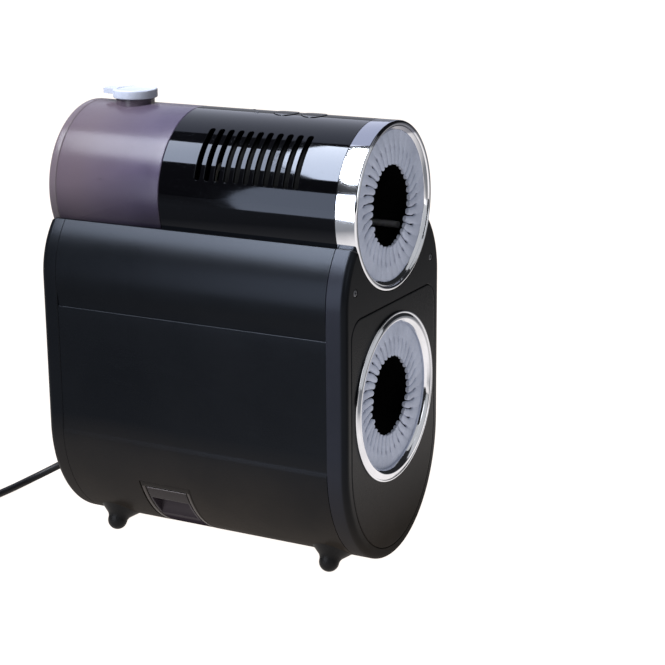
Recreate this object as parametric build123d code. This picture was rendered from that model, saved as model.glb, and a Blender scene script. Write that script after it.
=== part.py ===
from build123d import *
import math
import os

# Brush cleaner with a steam port above and a suction port below.
# Millimetres. +Z is up, the ports face -Y, and the origin is on the floor
# under the middle of the body.

# Body section, in the XZ plane
bodyHalf = 74.3
bellyZ = 89.5
bellyDepth = 85.0
sideTopZ = 201.5
shoulderX = 13.0
shoulderR = 61.3
shoulderTopZ = 241.9
wall = 2.5
splitZ = 181.0

# Stations along Y
faceY = -123.8
shellFrontY = -108.55
shellRearY = 111.15
rearY = 125.2
facePlate = 3.0
bezelRound = 4.4
coverRound = 6.0

# Barrel on top of the body
barrelZ = 261.5
barrelR = 59.0
sleeveRearY = 30.95
upperFrontY = -124.4
ringSeamY = -108.35
sleeveGap = 0.1
tankGap = 0.6

# Ports
portZ = 124.6
lowerRingR = 61.2
lowerFrontY = -126.0
lowerRingRearY = -113.2
fringeHoleR = 28.5
fringeSlits = 36
slitWidth = 0.6
slitOuterR = 43.0
chamberR = 46.0
chamberWall = 2.0
upperSeatR = 55.8
lowerSeatR = 54.0
upperSeatY = -120.7
lowerSeatY = -120.5
fringeThick = 2.0
clampThick = 3.0
clampHoleR = 49.0
pipeX = 34.5
pipeZ = 240.5
pipeR = 2.5
pipeHoles = 11
upperChamberRearY = -12.0
lowerChamberRearY = 46.0

# Vent slots in the sleeve
ventCount = 11
ventFirstY = 0.95
ventPitch = 7.77
ventWidth = 4.6
ventLow = 19.3
ventHigh = 55.7

# Controls on top of the sleeve
buttonR = 9.0
buttonYs = (-61.85, -39.85)
buttonProud = 0.5
buttonTravel = 0.8
lampR = 1.6
lampPlaces = ((4.4, -10.55), (-6.0, -19.15))
boardZ = 309.5
boardThick = 1.6
switchTop = 2.2

# Power board on the right wall
boardX = 58.1
boardY0 = -95.0
boardY1 = -5.0

# Tank
tankFrontY = 31.25
capSeamY = 118.7
tankRearY = 126.0
capRound = 3.0
tankWall = 2.5
fillY = 86.75
neckR = 14.0
neckBoreR = 11.2
neckTopZ = 323.9
plugDiscR = 16.25
plugTopZ = 330.5
outletZ = 217.5
stubR = 5.0

# Hair tray in the belly
trayY0 = 11.15
trayY1 = 46.15
trayZ0 = 12.25
trayZ1 = 50.5
trayGap = 0.4
trayWall = 1.6
trayInnerX = 18.0
trayFrame = 4.1
trayFrameStep = 0.8
pocketBackX = -47.7
binInset = 10.6
lipHeight = 9.8
railTop = 12.45

# Fan
fanR = 45.5
impellerR = 44.5
hubR = 12.0
shaftR = 2.0
bladeCount = 7
ductWall = 2.5
ductFrontY = 50.0
ductRearY = 84.0
ductArmReach = 71.6
bracketFrontY = 75.0
motorR = 17.0
motorFrontY = 78.05
motorRearY = 103.0

# Feet
footX = 42.5
footYs = (-90.85, 91.15)
footTipZ = 0.76
footTilt = 32.0
footDomeR = 7.3
footRootR = 15.5
footNeckH = 10.0
footFlareR = 5.5
footLength = 17.0
footStemR = 4.0
footBarbH = 19.0
footBarbR = 5.4
footBarbTall = 3.2

# Panel in the face
panelHalf = 65.8
panelTopZ = 193.9
panelDepth = 76.5
panelCornerR = 14.0
panelGap = 0.4
panelHoleR = 56.9

# Screws, their bosses and the shell's wall bosses
shankR = 1.45
pilotR = 1.5
clearR = 1.7
bossR = 4.0
faceScrews = ((-59.3, 213.1), (59.3, 213.1))
shellScrews = ((-60, 62), (60, 62), (-62, 166), (62, 166))
rearSink = 3.5
rearHeadTall = 2.0
motorScrewCircle = 12.0
motorScrewAngles = (90, 210, 330)

# Grille in the rear cover
grilleR = 41.0
grillePitch = 7.0
grilleSlot = 3.0
grilleRows = 5

# Mains lead, lying on the floor behind the body
leadR = 3.0
leadRoute = [
    (30, 152.5, 30),
    (30, 169.5, 27.5),
    (30, 186.8, 17),
    (21.2, 202.2, 8),
    (5.8, 211, 3.2),
    (-12.5, 211.4, 3.2),
    (-32.5, 213.3, 3.2),
    (-54, 213, 3.2),
]
reliefRootR = 6.5
reliefTipR = 4.2
coilOuterR = 45.0
coilRows = 4
coilLayers = 2
turnPitch = 6.2
tailStart = 200.0
tailRuns = ((17.0, 105, 4.0), (17.0, 75, 4.5), (15.0, 48, 2.0))
plugHeading = 30.0
plugLength = 36.0
plugTall = 15.0
plugWide = 16.0
pinR = 2.0
pinLength = 19.0
pinSpread = 5.5


def rod(radius, y0, y1, x=0, z=0):
    return Pos(x, (y0 + y1) / 2, z) * Rot(90, 0, 0) * Cylinder(radius, y1 - y0)


def tube(outer, inner, y0, y1, x=0, z=0):
    return rod(outer, y0, y1, x, z) - rod(inner, y0 - 1, y1 + 1, x, z)


def post(radius, z0, z1, x, y):
    return Pos(x, y, (z0 + z1) / 2) * Cylinder(radius, z1 - z0)


def pin(radius, x0, x1, y, z):
    return Pos((x0 + x1) / 2, y, z) * Rot(0, 90, 0) * Cylinder(radius, x1 - x0)


def block(x0, x1, y0, y1, z0, z1):
    return Pos((x0 + x1) / 2, (y0 + y1) / 2, (z0 + z1) / 2) * Box(x1 - x0, y1 - y0, z1 - z0)


def slab(face, y0, y1):
    return Pos(0, y1, 0) * extrude(Plane.XZ * face, amount=y1 - y0)


def turned(points, radii, z):
    """A profile of (radius, y) points turned about the port axis at height z."""
    outline = FilletPolyline(*points, radius=radii, close=True)
    return Pos(0, 0, z) * revolve(make_face(outline), axis=Axis.Y)


def solidsOf(shape):
    return [Solid(s.wrapped) for s in shape.solids()]


def save(name, *shapes):
    solids = [s for shape in shapes for s in solidsOf(shape)]
    result = solids[0] if len(solids) == 1 else Compound(children=solids)
    export_step(result, f"parts/{name}.step")


def bodyFace(inset=0.0):
    """The body section, drawn in by inset, with a flat top in place of the barrel's trough."""
    half = bodyHalf - inset
    arcR = shoulderR - inset
    topZ = shoulderTopZ - inset
    topX = shoulderX + math.sqrt(arcR**2 - (topZ - sideTopZ) ** 2)
    bend = math.asin((topZ - sideTopZ) / arcR) / 2
    midX = shoulderX + arcR * math.cos(bend)
    midZ = sideTopZ + arcR * math.sin(bend)
    edges = [
        EllipticalCenterArc((0, bellyZ), half, bellyDepth - inset, start_angle=180, arc_size=180),
        Line((half, bellyZ), (half, sideTopZ)),
        ThreePointArc((half, sideTopZ), (midX, midZ), (topX, topZ)),
        Line((topX, topZ), (-topX, topZ)),
        ThreePointArc((-topX, topZ), (-midX, midZ), (-half, sideTopZ)),
        Line((-half, sideTopZ), (-half, bellyZ)),
    ]
    return make_face(edges)


def bodySlab(inset, y0, y1):
    return slab(bodyFace(inset), y0, y1)


def panelFace(grow=0.0):
    half = panelHalf + grow
    top = panelTopZ + grow
    corner = panelCornerR + grow
    mid = corner * (1 - math.sqrt(0.5))
    edges = [
        EllipticalCenterArc((0, bellyZ), half, panelDepth + grow, start_angle=180, arc_size=180),
        Line((half, bellyZ), (half, top - corner)),
        ThreePointArc((half, top - corner), (half - mid, top - mid), (half - corner, top)),
        Line((half - corner, top), (corner - half, top)),
        ThreePointArc((corner - half, top), (mid - half, top - mid), (-half, top - corner)),
        Line((-half, top - corner), (-half, bellyZ)),
    ]
    return make_face(edges)


def trough(gap, inset, y0, y1):
    """The cylinder that the barrel's seat is cut with."""
    return rod(barrelR + gap + inset, y0, y1, 0, barrelZ)


def makeLowerShell():
    shell = bodySlab(0, shellFrontY, shellRearY) - bodySlab(wall, shellFrontY - 1, shellRearY + 1)
    shell -= block(-90, 90, -130, 130, splitZ, 260)
    shell -= block(-80, -20, trayY0, trayY1, trayZ0, trayZ1)
    frameY0 = trayY0 - trayFrame
    frameY1 = trayY1 + trayFrame
    step = bodySlab(-1, frameY0, frameY1) - bodySlab(trayFrameStep, frameY0 - 1, frameY1 + 1)
    step &= block(-80, -26, frameY0, frameY1, 0, trayZ1 + trayFrame)
    shell -= step
    for side in (-1, 1):
        for y in footYs:
            shell -= footPlace(side, y) * post(footStemR + 0.1, 5, 30, 0, 0)
    for x, z in shellScrews:
        shell += lug(x, z, 100, shellRearY)
    for y in (boardY0 + 10, boardY1 - 10):
        for z in (100, 145):
            shell += pin(3, boardX + boardThick + 0.1, bodyHalf - 1, y, z)
    return shell


def lug(x, z, y0, y1):
    """A screw boss with a web to the side wall."""
    side = 1 if x > 0 else -1
    web = block(min(x, side * 73), max(x, side * 73), y0, y1, z - 1, z + 1)
    boss = rod(bossR, y0, y1, x, z) + (web & bodySlab(1, y0, y1))
    return boss - rod(pilotR, y0 - 1, y1 + 1, x, z)


def makeUpperShell():
    shell = bodySlab(0, shellFrontY, shellRearY)
    inner = bodySlab(wall, shellFrontY - 1, shellRearY + 1)
    inner -= trough(sleeveGap, wall, shellFrontY - 2, sleeveRearY)
    inner -= trough(tankGap, wall, sleeveRearY, shellRearY + 2)
    shell -= inner
    shell -= trough(sleeveGap, 0, shellFrontY - 1, sleeveRearY)
    shell -= trough(tankGap, 0, sleeveRearY, shellRearY + 1)
    shell -= block(-90, 90, -130, 130, 0, splitZ)
    for x, z in faceScrews:
        shell += lug(x, z, shellFrontY, shellFrontY + 11)
        shell += lug(x, z, shellRearY - 11, shellRearY)
    return shell


def makeFrontBezel():
    bezel = bodySlab(0, faceY, shellFrontY)
    rim = bezel.edges().group_by(Axis.Y)[0]
    bezel = fillet(rim, bezelRound)
    bezel -= bodySlab(wall, faceY + facePlate, shellFrontY + 1)
    bezel -= slab(panelFace(panelGap), faceY - 1, faceY + facePlate + 0.1)
    ledge = slab(panelFace(4), faceY + facePlate, faceY + facePlate + 2.5)
    ledge -= slab(panelFace(-4), faceY, faceY + facePlate + 3)
    bezel += ledge & bodySlab(1, faceY, shellFrontY)
    for x, z in faceScrews:
        bezel += rod(bossR, faceY + facePlate, shellFrontY, x, z)
        bezel -= rod(clearR, faceY - 1, shellFrontY + 1, x, z)
        bezel -= rod(2.8, faceY - 1, faceY + 1.6, x, z)
    return bezel - trough(sleeveGap, 0, faceY - 1, shellFrontY + 1)


def makeFrontPanel():
    panel = slab(panelFace(), faceY, faceY + facePlate)
    rim = panel.edges().group_by(Axis.Y)[0]
    panel = chamfer(rim, 0.4)
    return panel - rod(panelHoleR, faceY - 1, faceY + 5, 0, portZ)


def makeRearCover():
    cover = bodySlab(0, shellRearY, rearY)
    rim = cover.edges().group_by(Axis.Y)[-1]
    cover = fillet(rim, coverRound)
    cover -= bodySlab(wall, shellRearY - 1, rearY - wall)
    for row in range(-grilleRows, grilleRows + 1):
        drop = grillePitch * row
        reach = math.sqrt(grilleR**2 - drop**2)
        z = portZ + drop
        cover -= block(-reach, reach, rearY - 5, rearY + 1, z - grilleSlot / 2, z + grilleSlot / 2)
    tall = grillePitch * grilleRows + grilleSlot
    cover += block(-1.5, 1.5, rearY - wall, rearY, portZ - tall, portZ + tall)
    for x, z in shellScrews + faceScrews:
        cover += rod(bossR, shellRearY, rearY - 1.9, x, z) & bodySlab(1, shellRearY, rearY - 1.9)
        cover -= rod(clearR, shellRearY - 1, rearY + 1, x, z)
        cover -= rod(3.2, rearY - rearSink, rearY + 1, x, z)
    cover -= rod(reliefRootR - 1.4, rearY - 4, rearY + 1, leadRoute[0][0], leadRoute[0][2])
    cover -= trough(tankGap, 0, shellRearY - 1, rearY + 1)
    return cover


def rodFrom(radius, start, reach, x, z):
    """A rod from start that runs reach along Y, either way."""
    end = start + reach
    return rod(radius, min(start, end), max(start, end), x, z)


def screw(headR, headTall, stemR, length, x, z, headY, inward):
    """A pan-head screw along Y; inward is +1 when its shank points to +Y."""
    head = rodFrom(headR, headY, inward * headTall, x, z)
    shank = rodFrom(stemR, headY, inward * length, x, z)
    slot = block(x - 0.4, x + 0.4, headY - 0.7, headY + 0.7, z - 1.7, z + 1.7)
    cross = slot + block(x - 1.7, x + 1.7, headY - 0.7, headY + 0.7, z - 0.4, z + 0.4)
    return head + shank - cross


def footPlace(side, y):
    """The frame of one foot, with its origin at the tip and +Z along the foot into the body."""
    return Pos(side * footX, y, footTipZ) * Rot(0, -side * footTilt, 0)


def makeFoot(side, y):
    neck = [(0, footDomeR), (footDomeR, footDomeR), (footDomeR, footNeckH)]
    root = [(footRootR, footLength), (0, footLength)]
    outline = FilletPolyline(*neck, *root, radius=[0, 0, footFlareR, 0, 0], close=True)
    flare = Rot(90, 0, 0) * revolve(make_face(outline), axis=Axis.Y)
    foot = footPlace(side, y) * (flare + Pos(0, 0, footDomeR) * Sphere(footDomeR))
    foot -= bodySlab(-0.02, y - 20, y + 20)
    foot -= block(-90, 90, y - 20, y + 20, -20, 0)
    stem = post(footStemR, 10, footBarbH + 0.2, 0, 0)
    head = post(footBarbR, footBarbH, footBarbH + footBarbTall, 0, 0)
    return foot + footPlace(side, y) * (stem + head)


def makeSleeve():
    sleeve = tube(barrelR, barrelR - wall, ringSeamY + 0.1, sleeveRearY, 0, barrelZ)
    sleeve += tube(upperSeatR - 0.1, upperSeatR - 2, ringSeamY - 4.9, ringSeamY + 1.5, 0, barrelZ)
    sleeve += tube(barrelR - 1, upperSeatR - 2, ringSeamY + 0.1, ringSeamY + 2.5, 0, barrelZ)
    for i in range(ventCount):
        sleeve -= ventCutter(ventFirstY - ventPitch * i)
    for y in buttonYs:
        sleeve -= post(buttonR + 0.35, barrelZ + 30, barrelZ + 70, 0, y)
    for x, y in lampPlaces:
        sleeve -= post(lampR + 0.02, barrelZ + 30, barrelZ + 70, x, y)
    core = rod(barrelR - 1, -100, 20, 0, barrelZ)
    for x in (-14, 14):
        for y in (-73, -5):
            sleeve += post(2.5, boardZ + boardThick, barrelZ + 60, x, y) & core
    return sleeve


def ventCutter(y):
    """One slot that runs round the sleeve, with round ends."""
    face = Pos(barrelR - 1, 0) * Rectangle(10, ventWidth)
    cutter = revolve(face, axis=Axis.Y, revolution_arc=ventHigh - ventLow)
    cutter = Rot(0, 180 + ventLow, 0) * cutter
    end = Pos(barrelR - 1, 0, 0) * Rot(0, 90, 0) * Cylinder(ventWidth / 2, 10)
    for angle in (ventLow, ventHigh):
        cutter += Rot(0, 180 + angle, 0) * end
    return Pos(0, y, barrelZ) * cutter


def makeUpperRing():
    seat = upperSeatR + 0.1
    points = [
        (barrelR, ringSeamY),
        (barrelR, upperFrontY),
        (52.5, upperFrontY),
        (52.5, upperSeatY - 0.1),
        (seat, upperSeatY - 0.1),
        (seat, ringSeamY),
    ]
    return turned(points, [0, 1.6, 2.4, 0, 0, 0], barrelZ)


def makeLowerRing():
    seat = lowerSeatR + 0.1
    points = [
        (lowerRingR, faceY - 0.05),
        (lowerRingR, faceY - 1.6),
        (60.0, faceY - 1.9),
        (59.2, faceY - 1.0),
        (57.6, lowerFrontY),
        (54.6, lowerFrontY),
        (52.5, faceY + 1.0),
        (52.5, lowerSeatY - 0.1),
        (seat, lowerSeatY - 0.1),
        (seat, lowerRingRearY),
        (56.8, lowerRingRearY),
        (56.8, faceY - 0.05),
    ]
    return turned(points, [0, 0.4, 0.3, 0.2, 1.2, 1.2, 0.4, 0, 0, 0, 0, 0], portZ)


def makeFringe(outer, y0, z):
    fringe = tube(outer, fringeHoleR, y0, y0 + fringeThick, 0, z)
    slits = []
    for i in range(fringeSlits):
        cut = block(fringeHoleR - 2, slitOuterR, y0 - 1, y0 + 3, -slitWidth / 2, slitWidth / 2)
        slits.append(Pos(0, 0, z) * Rot(0, 360 / fringeSlits * i, 0) * cut)
    return fringe - slits


def makeClamp(outer, y0, z):
    return tube(outer, clampHoleR, y0, y0 + clampThick, 0, z)


def makeUpperChamber():
    y0 = upperSeatY + fringeThick + clampThick + 0.1
    chamber = tube(chamberR, chamberR - chamberWall, y0, upperChamberRearY, 0, barrelZ)
    chamber += tube(upperSeatR - 0.2, chamberR - 1, y0, y0 + 2, 0, barrelZ)
    chamber += rod(chamberR - 1, upperChamberRearY - 2, upperChamberRearY, 0, barrelZ)
    return chamber - rod(pipeR + 0.2, -20, 0, pipeX, pipeZ)


def makeSteamPipe():
    """The perforated pipe that lets steam into the chamber."""
    pipe = tube(pipeR, pipeR - 0.9, -108, -4.1, pipeX, pipeZ) + rod(pipeR, -110, -108, pipeX, pipeZ)
    for i in range(pipeHoles):
        pipe -= pin(0.6, pipeX - 4, pipeX, -102 + 8 * i, pipeZ)
    return pipe


def makeLowerChamber():
    y0 = lowerSeatY + fringeThick + clampThick + 0.1
    chamber = tube(chamberR, chamberR - chamberWall, y0, lowerChamberRearY, 0, portZ)
    chamber += tube(lowerSeatR - 0.1, chamberR - 1, y0, y0 + 2, 0, portZ)
    return chamber - block(-20.4, 12.4, trayY0 + 2, trayY1 - 2, 70, 100)


def makeChute():
    outer = block(-22, 14, trayY0 + 0.4, trayY1 - 0.4, trayZ1 + 0.5, 110)
    inner = block(-20.4, 12.4, trayY0 + 2, trayY1 - 2, trayZ1 - 1, 111)
    return outer - inner - rod(chamberR + 0.02, trayY0 - 2, trayY1 + 2, 0, portZ)


def makeTray():
    y0 = trayY0 + trayGap
    y1 = trayY1 - trayGap
    z0 = trayZ0 + trayGap
    z1 = trayZ1 - trayGap
    skin = bodySlab(0.3, y0, y1)
    tray = skin & block(-80, trayInnerX, y0, y1, z0, z1)
    pocket = block(-80, pocketBackX, y0 + trayWall, y1 - trayWall, z0 + trayWall, z1 - lipHeight)
    hollow = bodySlab(binInset, y0 + trayWall, y1 - trayWall)
    hollow &= block(pocketBackX + trayWall, trayInnerX - trayWall, y0, y1, z0 + trayWall, z1 + 1)
    return tray - pocket - hollow


def makeRail(y0, y1):
    rail = block(-24, 24, y0, y1, 5, railTop)
    return rail & bodySlab(wall + 0.02, y0, y1)


def makeImpeller():
    hub = tube(hubR, shaftR - 0.02, 56, 70, 0, portZ)
    hub += rod(hubR, 54, 57, 0, portZ)
    reach = tube(impellerR, hubR - 1, ductFrontY, bracketFrontY, 0, portZ)
    for i in range(bladeCount):
        blade = Pos(28, 63, 0) * Rot(38, 0, 0) * Box(36, 1.6, 17)
        hub += (Pos(0, 0, portZ) * Rot(0, 360 / bladeCount * i, 0) * blade) & reach
    return hub


def makeFanDuct():
    duct = tube(fanR + ductWall, fanR, ductFrontY, ductRearY, 0, portZ)
    arms = block(-ductArmReach, ductArmReach, 56, 62, portZ - 5, portZ + 5)
    return duct + (arms - rod(fanR + 1, 55, 63, 0, portZ))


def makeMotorBracket():
    y0 = bracketFrontY
    y1 = y0 + 3
    bracket = tube(fanR - 0.05, fanR - 3, y0, y1 + 1, 0, portZ) + tube(motorR + 3, 6, y0, y1, 0, portZ)
    spoke = block(motorR + 2, fanR - 2, y0, y1, -3, 3)
    for angle in motorScrewAngles:
        bracket += Pos(0, 0, portZ) * Rot(0, angle, 0) * spoke
    for x, z in motorScrewPlaces():
        bracket -= rod(1.6, 70, 80, x, z)
    return bracket


def motorScrewPlaces():
    turns = [math.radians(angle) for angle in motorScrewAngles]
    return [(motorScrewCircle * math.cos(a), portZ + motorScrewCircle * math.sin(a)) for a in turns]


def makeMotor():
    motor = rod(motorR, motorFrontY, motorRearY, 0, portZ) + rod(5.5, 74, 79, 0, portZ)
    motor += rod(6, motorRearY, motorRearY + 3, 0, portZ)
    motor -= rod(shaftR + 0.05, 70, 98, 0, portZ)
    for x, z in motorScrewPlaces():
        motor -= rod(1.2, 77, 84, x, z)
    return motor


def makeBulkhead():
    disc = rod(barrelR - wall - 0.05, 26, 29, 0, barrelZ)
    return disc - rod(stubR + 0.6, 20, 35, 0, outletZ)


def makeSocket():
    socket = rod(7.6, 16, 25.98, 0, outletZ) - rod(stubR + 0.35, 20, 30, 0, outletZ)
    return socket - rod(1.6, 10, 25, 0, outletZ)


def hose(points, bend):
    path = FilletPolyline(*points, radius=[bend] * (len(points) - 2))
    ring = Plane(origin=path @ 0, z_dir=path % 0) * (Circle(2.6) - Circle(1.6))
    return sweep(ring, path=path)


def makeTankShell():
    shell = tube(barrelR, barrelR - tankWall, tankFrontY, capSeamY, 0, barrelZ)
    shell += rod(barrelR - 1, tankFrontY, tankFrontY + tankWall, 0, barrelZ)
    neck = post(neckR, barrelZ + 50, neckTopZ, 0, fillY)
    neck -= rod(barrelR - tankWall, 50, 110, 0, barrelZ)
    shell += neck
    shell -= post(neckBoreR, barrelZ + 40, neckTopZ + 1, 0, fillY)
    return shell - rod(stubR + 0.02, 20, 40, 0, outletZ)


def makeTankCap():
    points = [
        (0, tankRearY),
        (barrelR, tankRearY),
        (barrelR, capSeamY + 0.05),
        (barrelR - tankWall - 0.05, capSeamY + 0.05),
        (barrelR - tankWall - 0.05, capSeamY - 5),
        (barrelR - 2 * tankWall, capSeamY - 5),
        (barrelR - 2 * tankWall, tankRearY - tankWall),
        (0, tankRearY - tankWall),
    ]
    return turned(points, [0, capRound, 0, 0, 0, 0, 1.5, 0], barrelZ)


def makeTankOutlet():
    """Flanged stub of the tank's outlet, with a groove for its seal."""
    y1 = tankFrontY + tankWall
    stub = tube(stubR, 2.2, 20.5, y1, 0, outletZ) + tube(8, 2.2, y1 + 0.02, y1 + 2, 0, outletZ)
    stub += tube(stubR, 2.2, y1 - 0.1, y1 + 0.5, 0, outletZ)
    return stub - tube(7, 4.2, 22, 24, 0, outletZ)


def makePlugStopper():
    disc = post(plugDiscR, neckTopZ + 0.1, plugTopZ, 0, fillY)
    disc = fillet(disc.edges().group_by(Axis.Z)[-1], 1.2)
    stem = post(neckBoreR - 0.3, barrelZ + 54, neckTopZ + 1, 0, fillY)
    tab = block(-6.5, 6.5, fillY + 10, fillY + 20.3, plugTopZ - 4.3, plugTopZ - 0.5)
    tab += post(6.5, plugTopZ - 4.3, plugTopZ - 0.5, 0, fillY + 20.3)
    return disc + stem + tab


def makeButton(y):
    """A round cap whose crown follows the sleeve, with a brim under the sleeve's wall."""
    under = barrelZ + 53.6
    cap = post(buttonR, under, barrelZ + 70, 0, y)
    cap &= rod(barrelR + buttonProud, y - 20, y + 20, 0, barrelZ)
    brim = post(buttonR + 1.6, under, under + 1.6, 0, y)
    brim &= rod(barrelR - wall - 0.7, y - 20, y + 20, 0, barrelZ)
    stem = post(2.2, boardZ + boardThick + switchTop + buttonTravel + 0.15, under + 0.4, 0, y)
    return cap + brim + stem


def makeLamp(x, y):
    lens = post(lampR, boardZ + boardThick + 0.8, barrelZ + 62, x, y)
    return lens & rod(barrelR + 0.3, -40, 10, 0, barrelZ)


def makeRelief():
    x, y, z = leadRoute[0]
    cone = Pos(x, (rearY + y) / 2, z) * Rot(90, 0, 0) * Cone(reliefTipR, reliefRootR, y - rearY)
    for i in range(6):
        station = rearY + 6 + 4 * i
        cone -= tube(9, 3.6, station, station + 1.2, x, z)
    flange = rod(reliefRootR + 1.5, rearY + 0.02, rearY + 1.5, x, z)
    neck = rod(reliefRootR - 1.5, rearY - wall - 0.5, rearY + 0.5, x, z)
    collar = rod(reliefRootR + 0.5, rearY - wall - 3, rearY - wall - 0.05, x, z)
    return cone + flange + neck + collar


def leadRadii(points):
    """Fillet radius at each corner: 0.45 of the shorter run over the tangent of half the turn."""
    radii = []
    for a, b, c in zip(points, points[1:], points[2:]):
        before = Vector(*b) - Vector(*a)
        after = Vector(*c) - Vector(*b)
        half = math.radians(before.get_angle(after)) / 2
        radii.append(0.45 * min(before.length, after.length) / math.tan(half))
    return radii


def makeLead():
    radii = leadRadii(leadRoute)
    path = FilletPolyline(*leadRoute, radius=radii)
    section = Plane(origin=path @ 0, z_dir=path % 0) * Circle(leadR)
    lead = sweep(section, path=path)
    print("lead radii", [round(r, 1) for r in radii])
    print("lead volume over section x length", lead.volume / (math.pi * leadR**2 * path.length))
    print("lead length", path.length)
    return lead


def coilCentre():
    x, y, _ = leadRoute[-1]
    return x, y + coilOuterR


def makeCoil():
    """The closed outer shape of the wound lead."""
    x, y = coilCentre()
    outer = coilOuterR + leadR
    inner = coilOuterR - turnPitch * (coilRows - 1) - leadR
    tall = turnPitch * (coilLayers - 1) + 2 * leadR
    corners = [(inner, 0.1), (outer, 0.1), (outer, tall), (inner, tall)]
    outline = FilletPolyline(*corners, radius=leadR - 0.2, close=True)
    return Pos(x, y, 0) * revolve(make_face(Plane.XZ * outline), axis=Axis.Z)


def tailRoute():
    """The last of the lead, from the coil's outer top turn up to the plug that lies on the coil."""
    cx, cy = coilCentre()
    angle = math.radians(tailStart)
    x = cx + coilOuterR * math.cos(angle)
    y = cy + coilOuterR * math.sin(angle)
    z = leadR + turnPitch + 0.3
    points = [(x, y, z)]
    for run, heading, rise in tailRuns:
        x += run * math.cos(math.radians(heading))
        y += run * math.sin(math.radians(heading))
        z += rise
        points.append((x, y, z))
    return points


def makeTail():
    points = tailRoute()
    radii = leadRadii(points)
    path = FilletPolyline(*points, radius=radii)
    tail = sweep(Plane(origin=path @ 0, z_dir=path % 0) * Circle(leadR), path=path)
    print("tail radii", [round(r, 1) for r in radii])
    print("tail volume over section x length", tail.volume / (math.pi * leadR**2 * path.length))
    print("tail points", [tuple(round(c, 2) for c in p) for p in points], "length", path.length)
    return tail


def plugPlace():
    """The plug's frame: the lead enters at its origin, and the pins point along its +Y."""
    return Pos(*tailRoute()[-1]) * Rot(0, 0, plugHeading - 90)


def makeMainsPlug():
    grip = Pos(0, 6, 0) * Rot(90, 0, 0) * Cone(7.2, 4.4, 12)
    body = block(-plugWide / 2, plugWide / 2, 11, plugLength, -plugTall / 2, plugTall / 2)
    body = fillet(body.edges(), 3.0)
    return plugPlace() * (grip + body)


def makePlugPins():
    front = plugLength + 0.02
    return [plugPlace() * rod(pinR, front, plugLength + pinLength, dx, 0) for dx in (-pinSpread, pinSpread)]


def makePowerBoard():
    return block(boardX, boardX + boardThick, boardY0, boardY1, 62, 152)


def makeCapacitors():
    return [pin(6, 38, boardX - 0.02, y, 82) for y in (boardY0 + 11, boardY1 - 11)]


def main():
    os.makedirs("parts", exist_ok=True)
    rearHeadY = rearY - rearSink + rearHeadTall
    save("lower_shell", makeLowerShell())
    save("upper_shell", makeUpperShell())
    save("front_bezel", makeFrontBezel())
    save("front_panel", makeFrontPanel())
    save("rear_cover", makeRearCover())
    save("face_screws", *[screw(2.6, 1.5, shankR, 20, x, z, faceY + 0.05, 1) for x, z in faceScrews])
    rearPlaces = shellScrews + faceScrews
    rearScrews = [screw(3.0, rearHeadTall, shankR, 15, x, z, rearHeadY, -1) for x, z in rearPlaces]
    save("rear_screws", *rearScrews)
    for hand, side in (("left", -1), ("right", 1)):
        for end, y in zip(("front", "rear"), footYs):
            save(f"foot_{end}_{hand}", makeFoot(side, y))
    save("barrel_sleeve", makeSleeve())
    save("upper_ring", makeUpperRing())
    save("upper_fringe", makeFringe(upperSeatR, upperSeatY, barrelZ))
    save("upper_clamp_ring", makeClamp(upperSeatR, upperSeatY + fringeThick + 0.02, barrelZ))
    save("steam_chamber", makeUpperChamber())
    save("steam_pipe", makeSteamPipe())
    save("steam_boiler", rod(20, -4, 20, 20, barrelZ - 11.5))
    save("water_pump", block(-38, -16, -4, 20, barrelZ - 25.5, barrelZ - 3.5))
    inlet = [(0, 15.95, outletZ), (0, 5, outletZ), (-27, 5, outletZ), (-27, 5, 235.9)]
    outlet = [(-27, 5, 258.1), (-27, 5, 282), (20, 5, 282), (20, 5, 270.1)]
    save("inlet_hose", hose(inlet, 6))
    save("outlet_hose", hose(outlet, 8))
    save("barrel_bulkhead", makeBulkhead())
    save("tank_socket", makeSocket())
    save("control_board", block(-18, 18, -78, -1, boardZ, boardZ + boardThick))
    switchZ = boardZ + boardThick
    switches = [block(-3, 3, y - 3, y + 3, switchZ + 0.02, switchZ + switchTop) for y in buttonYs]
    save("tact_switches", *switches)
    save("indicator_lamps", *[makeLamp(x, y) for x, y in lampPlaces])
    save("lower_ring", makeLowerRing())
    save("lower_fringe", makeFringe(lowerSeatR, lowerSeatY, portZ))
    save("lower_clamp_ring", makeClamp(lowerSeatR, lowerSeatY + fringeThick + 0.02, portZ))
    save("suction_chamber", makeLowerChamber())
    save("hair_chute", makeChute())
    save("filter_frame", tube(fanR + 2, 42.5, lowerChamberRearY + 0.1, ductFrontY - 0.1, 0, portZ))
    save("filter_mesh", rod(42.4, 47.5, 48.3, 0, portZ))
    save("fan_duct", makeFanDuct())
    save("motor_bracket", makeMotorBracket())
    save("fan_motor", makeMotor())
    save("motor_screws", *[screw(2.2, 1.5, 1.18, 8, x, z, 73.4, 1) for x, z in motorScrewPlaces()])
    save("power_board", makePowerBoard())
    save("transformer", block(36, boardX - 0.02, -62, -30, 64, 90))
    save("capacitors", *makeCapacitors())
    save("tray_rails", makeRail(trayY0 - 1, trayY0 + 5), makeRail(trayY1 - 5, trayY1 + 1))
    save("fan_impeller", makeImpeller())
    save("fan_shaft", rod(shaftR, 57.02, 97, 0, portZ))
    for name, y in zip(("button_front", "button_rear"), buttonYs):
        save(name, makeButton(y))
    save("hair_tray", makeTray())
    save("tank_shell", makeTankShell())
    save("tank_cap", makeTankCap())
    save("tank_outlet", makeTankOutlet())
    save("outlet_seal", tube(stubR + 0.28, 4.21, 22.02, 23.98, 0, outletZ))
    save("tank_plug", makePlugStopper())
    save("strain_relief", makeRelief())
    save("lead_tube", makeLead())
    save("lead_coil", makeCoil())
    save("lead_tail", makeTail())
    save("plug_body", makeMainsPlug())
    save("plug_pins", *makePlugPins())


main()
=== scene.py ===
import bmesh
import bpy
import math
from mathutils import Matrix, Vector


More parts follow.
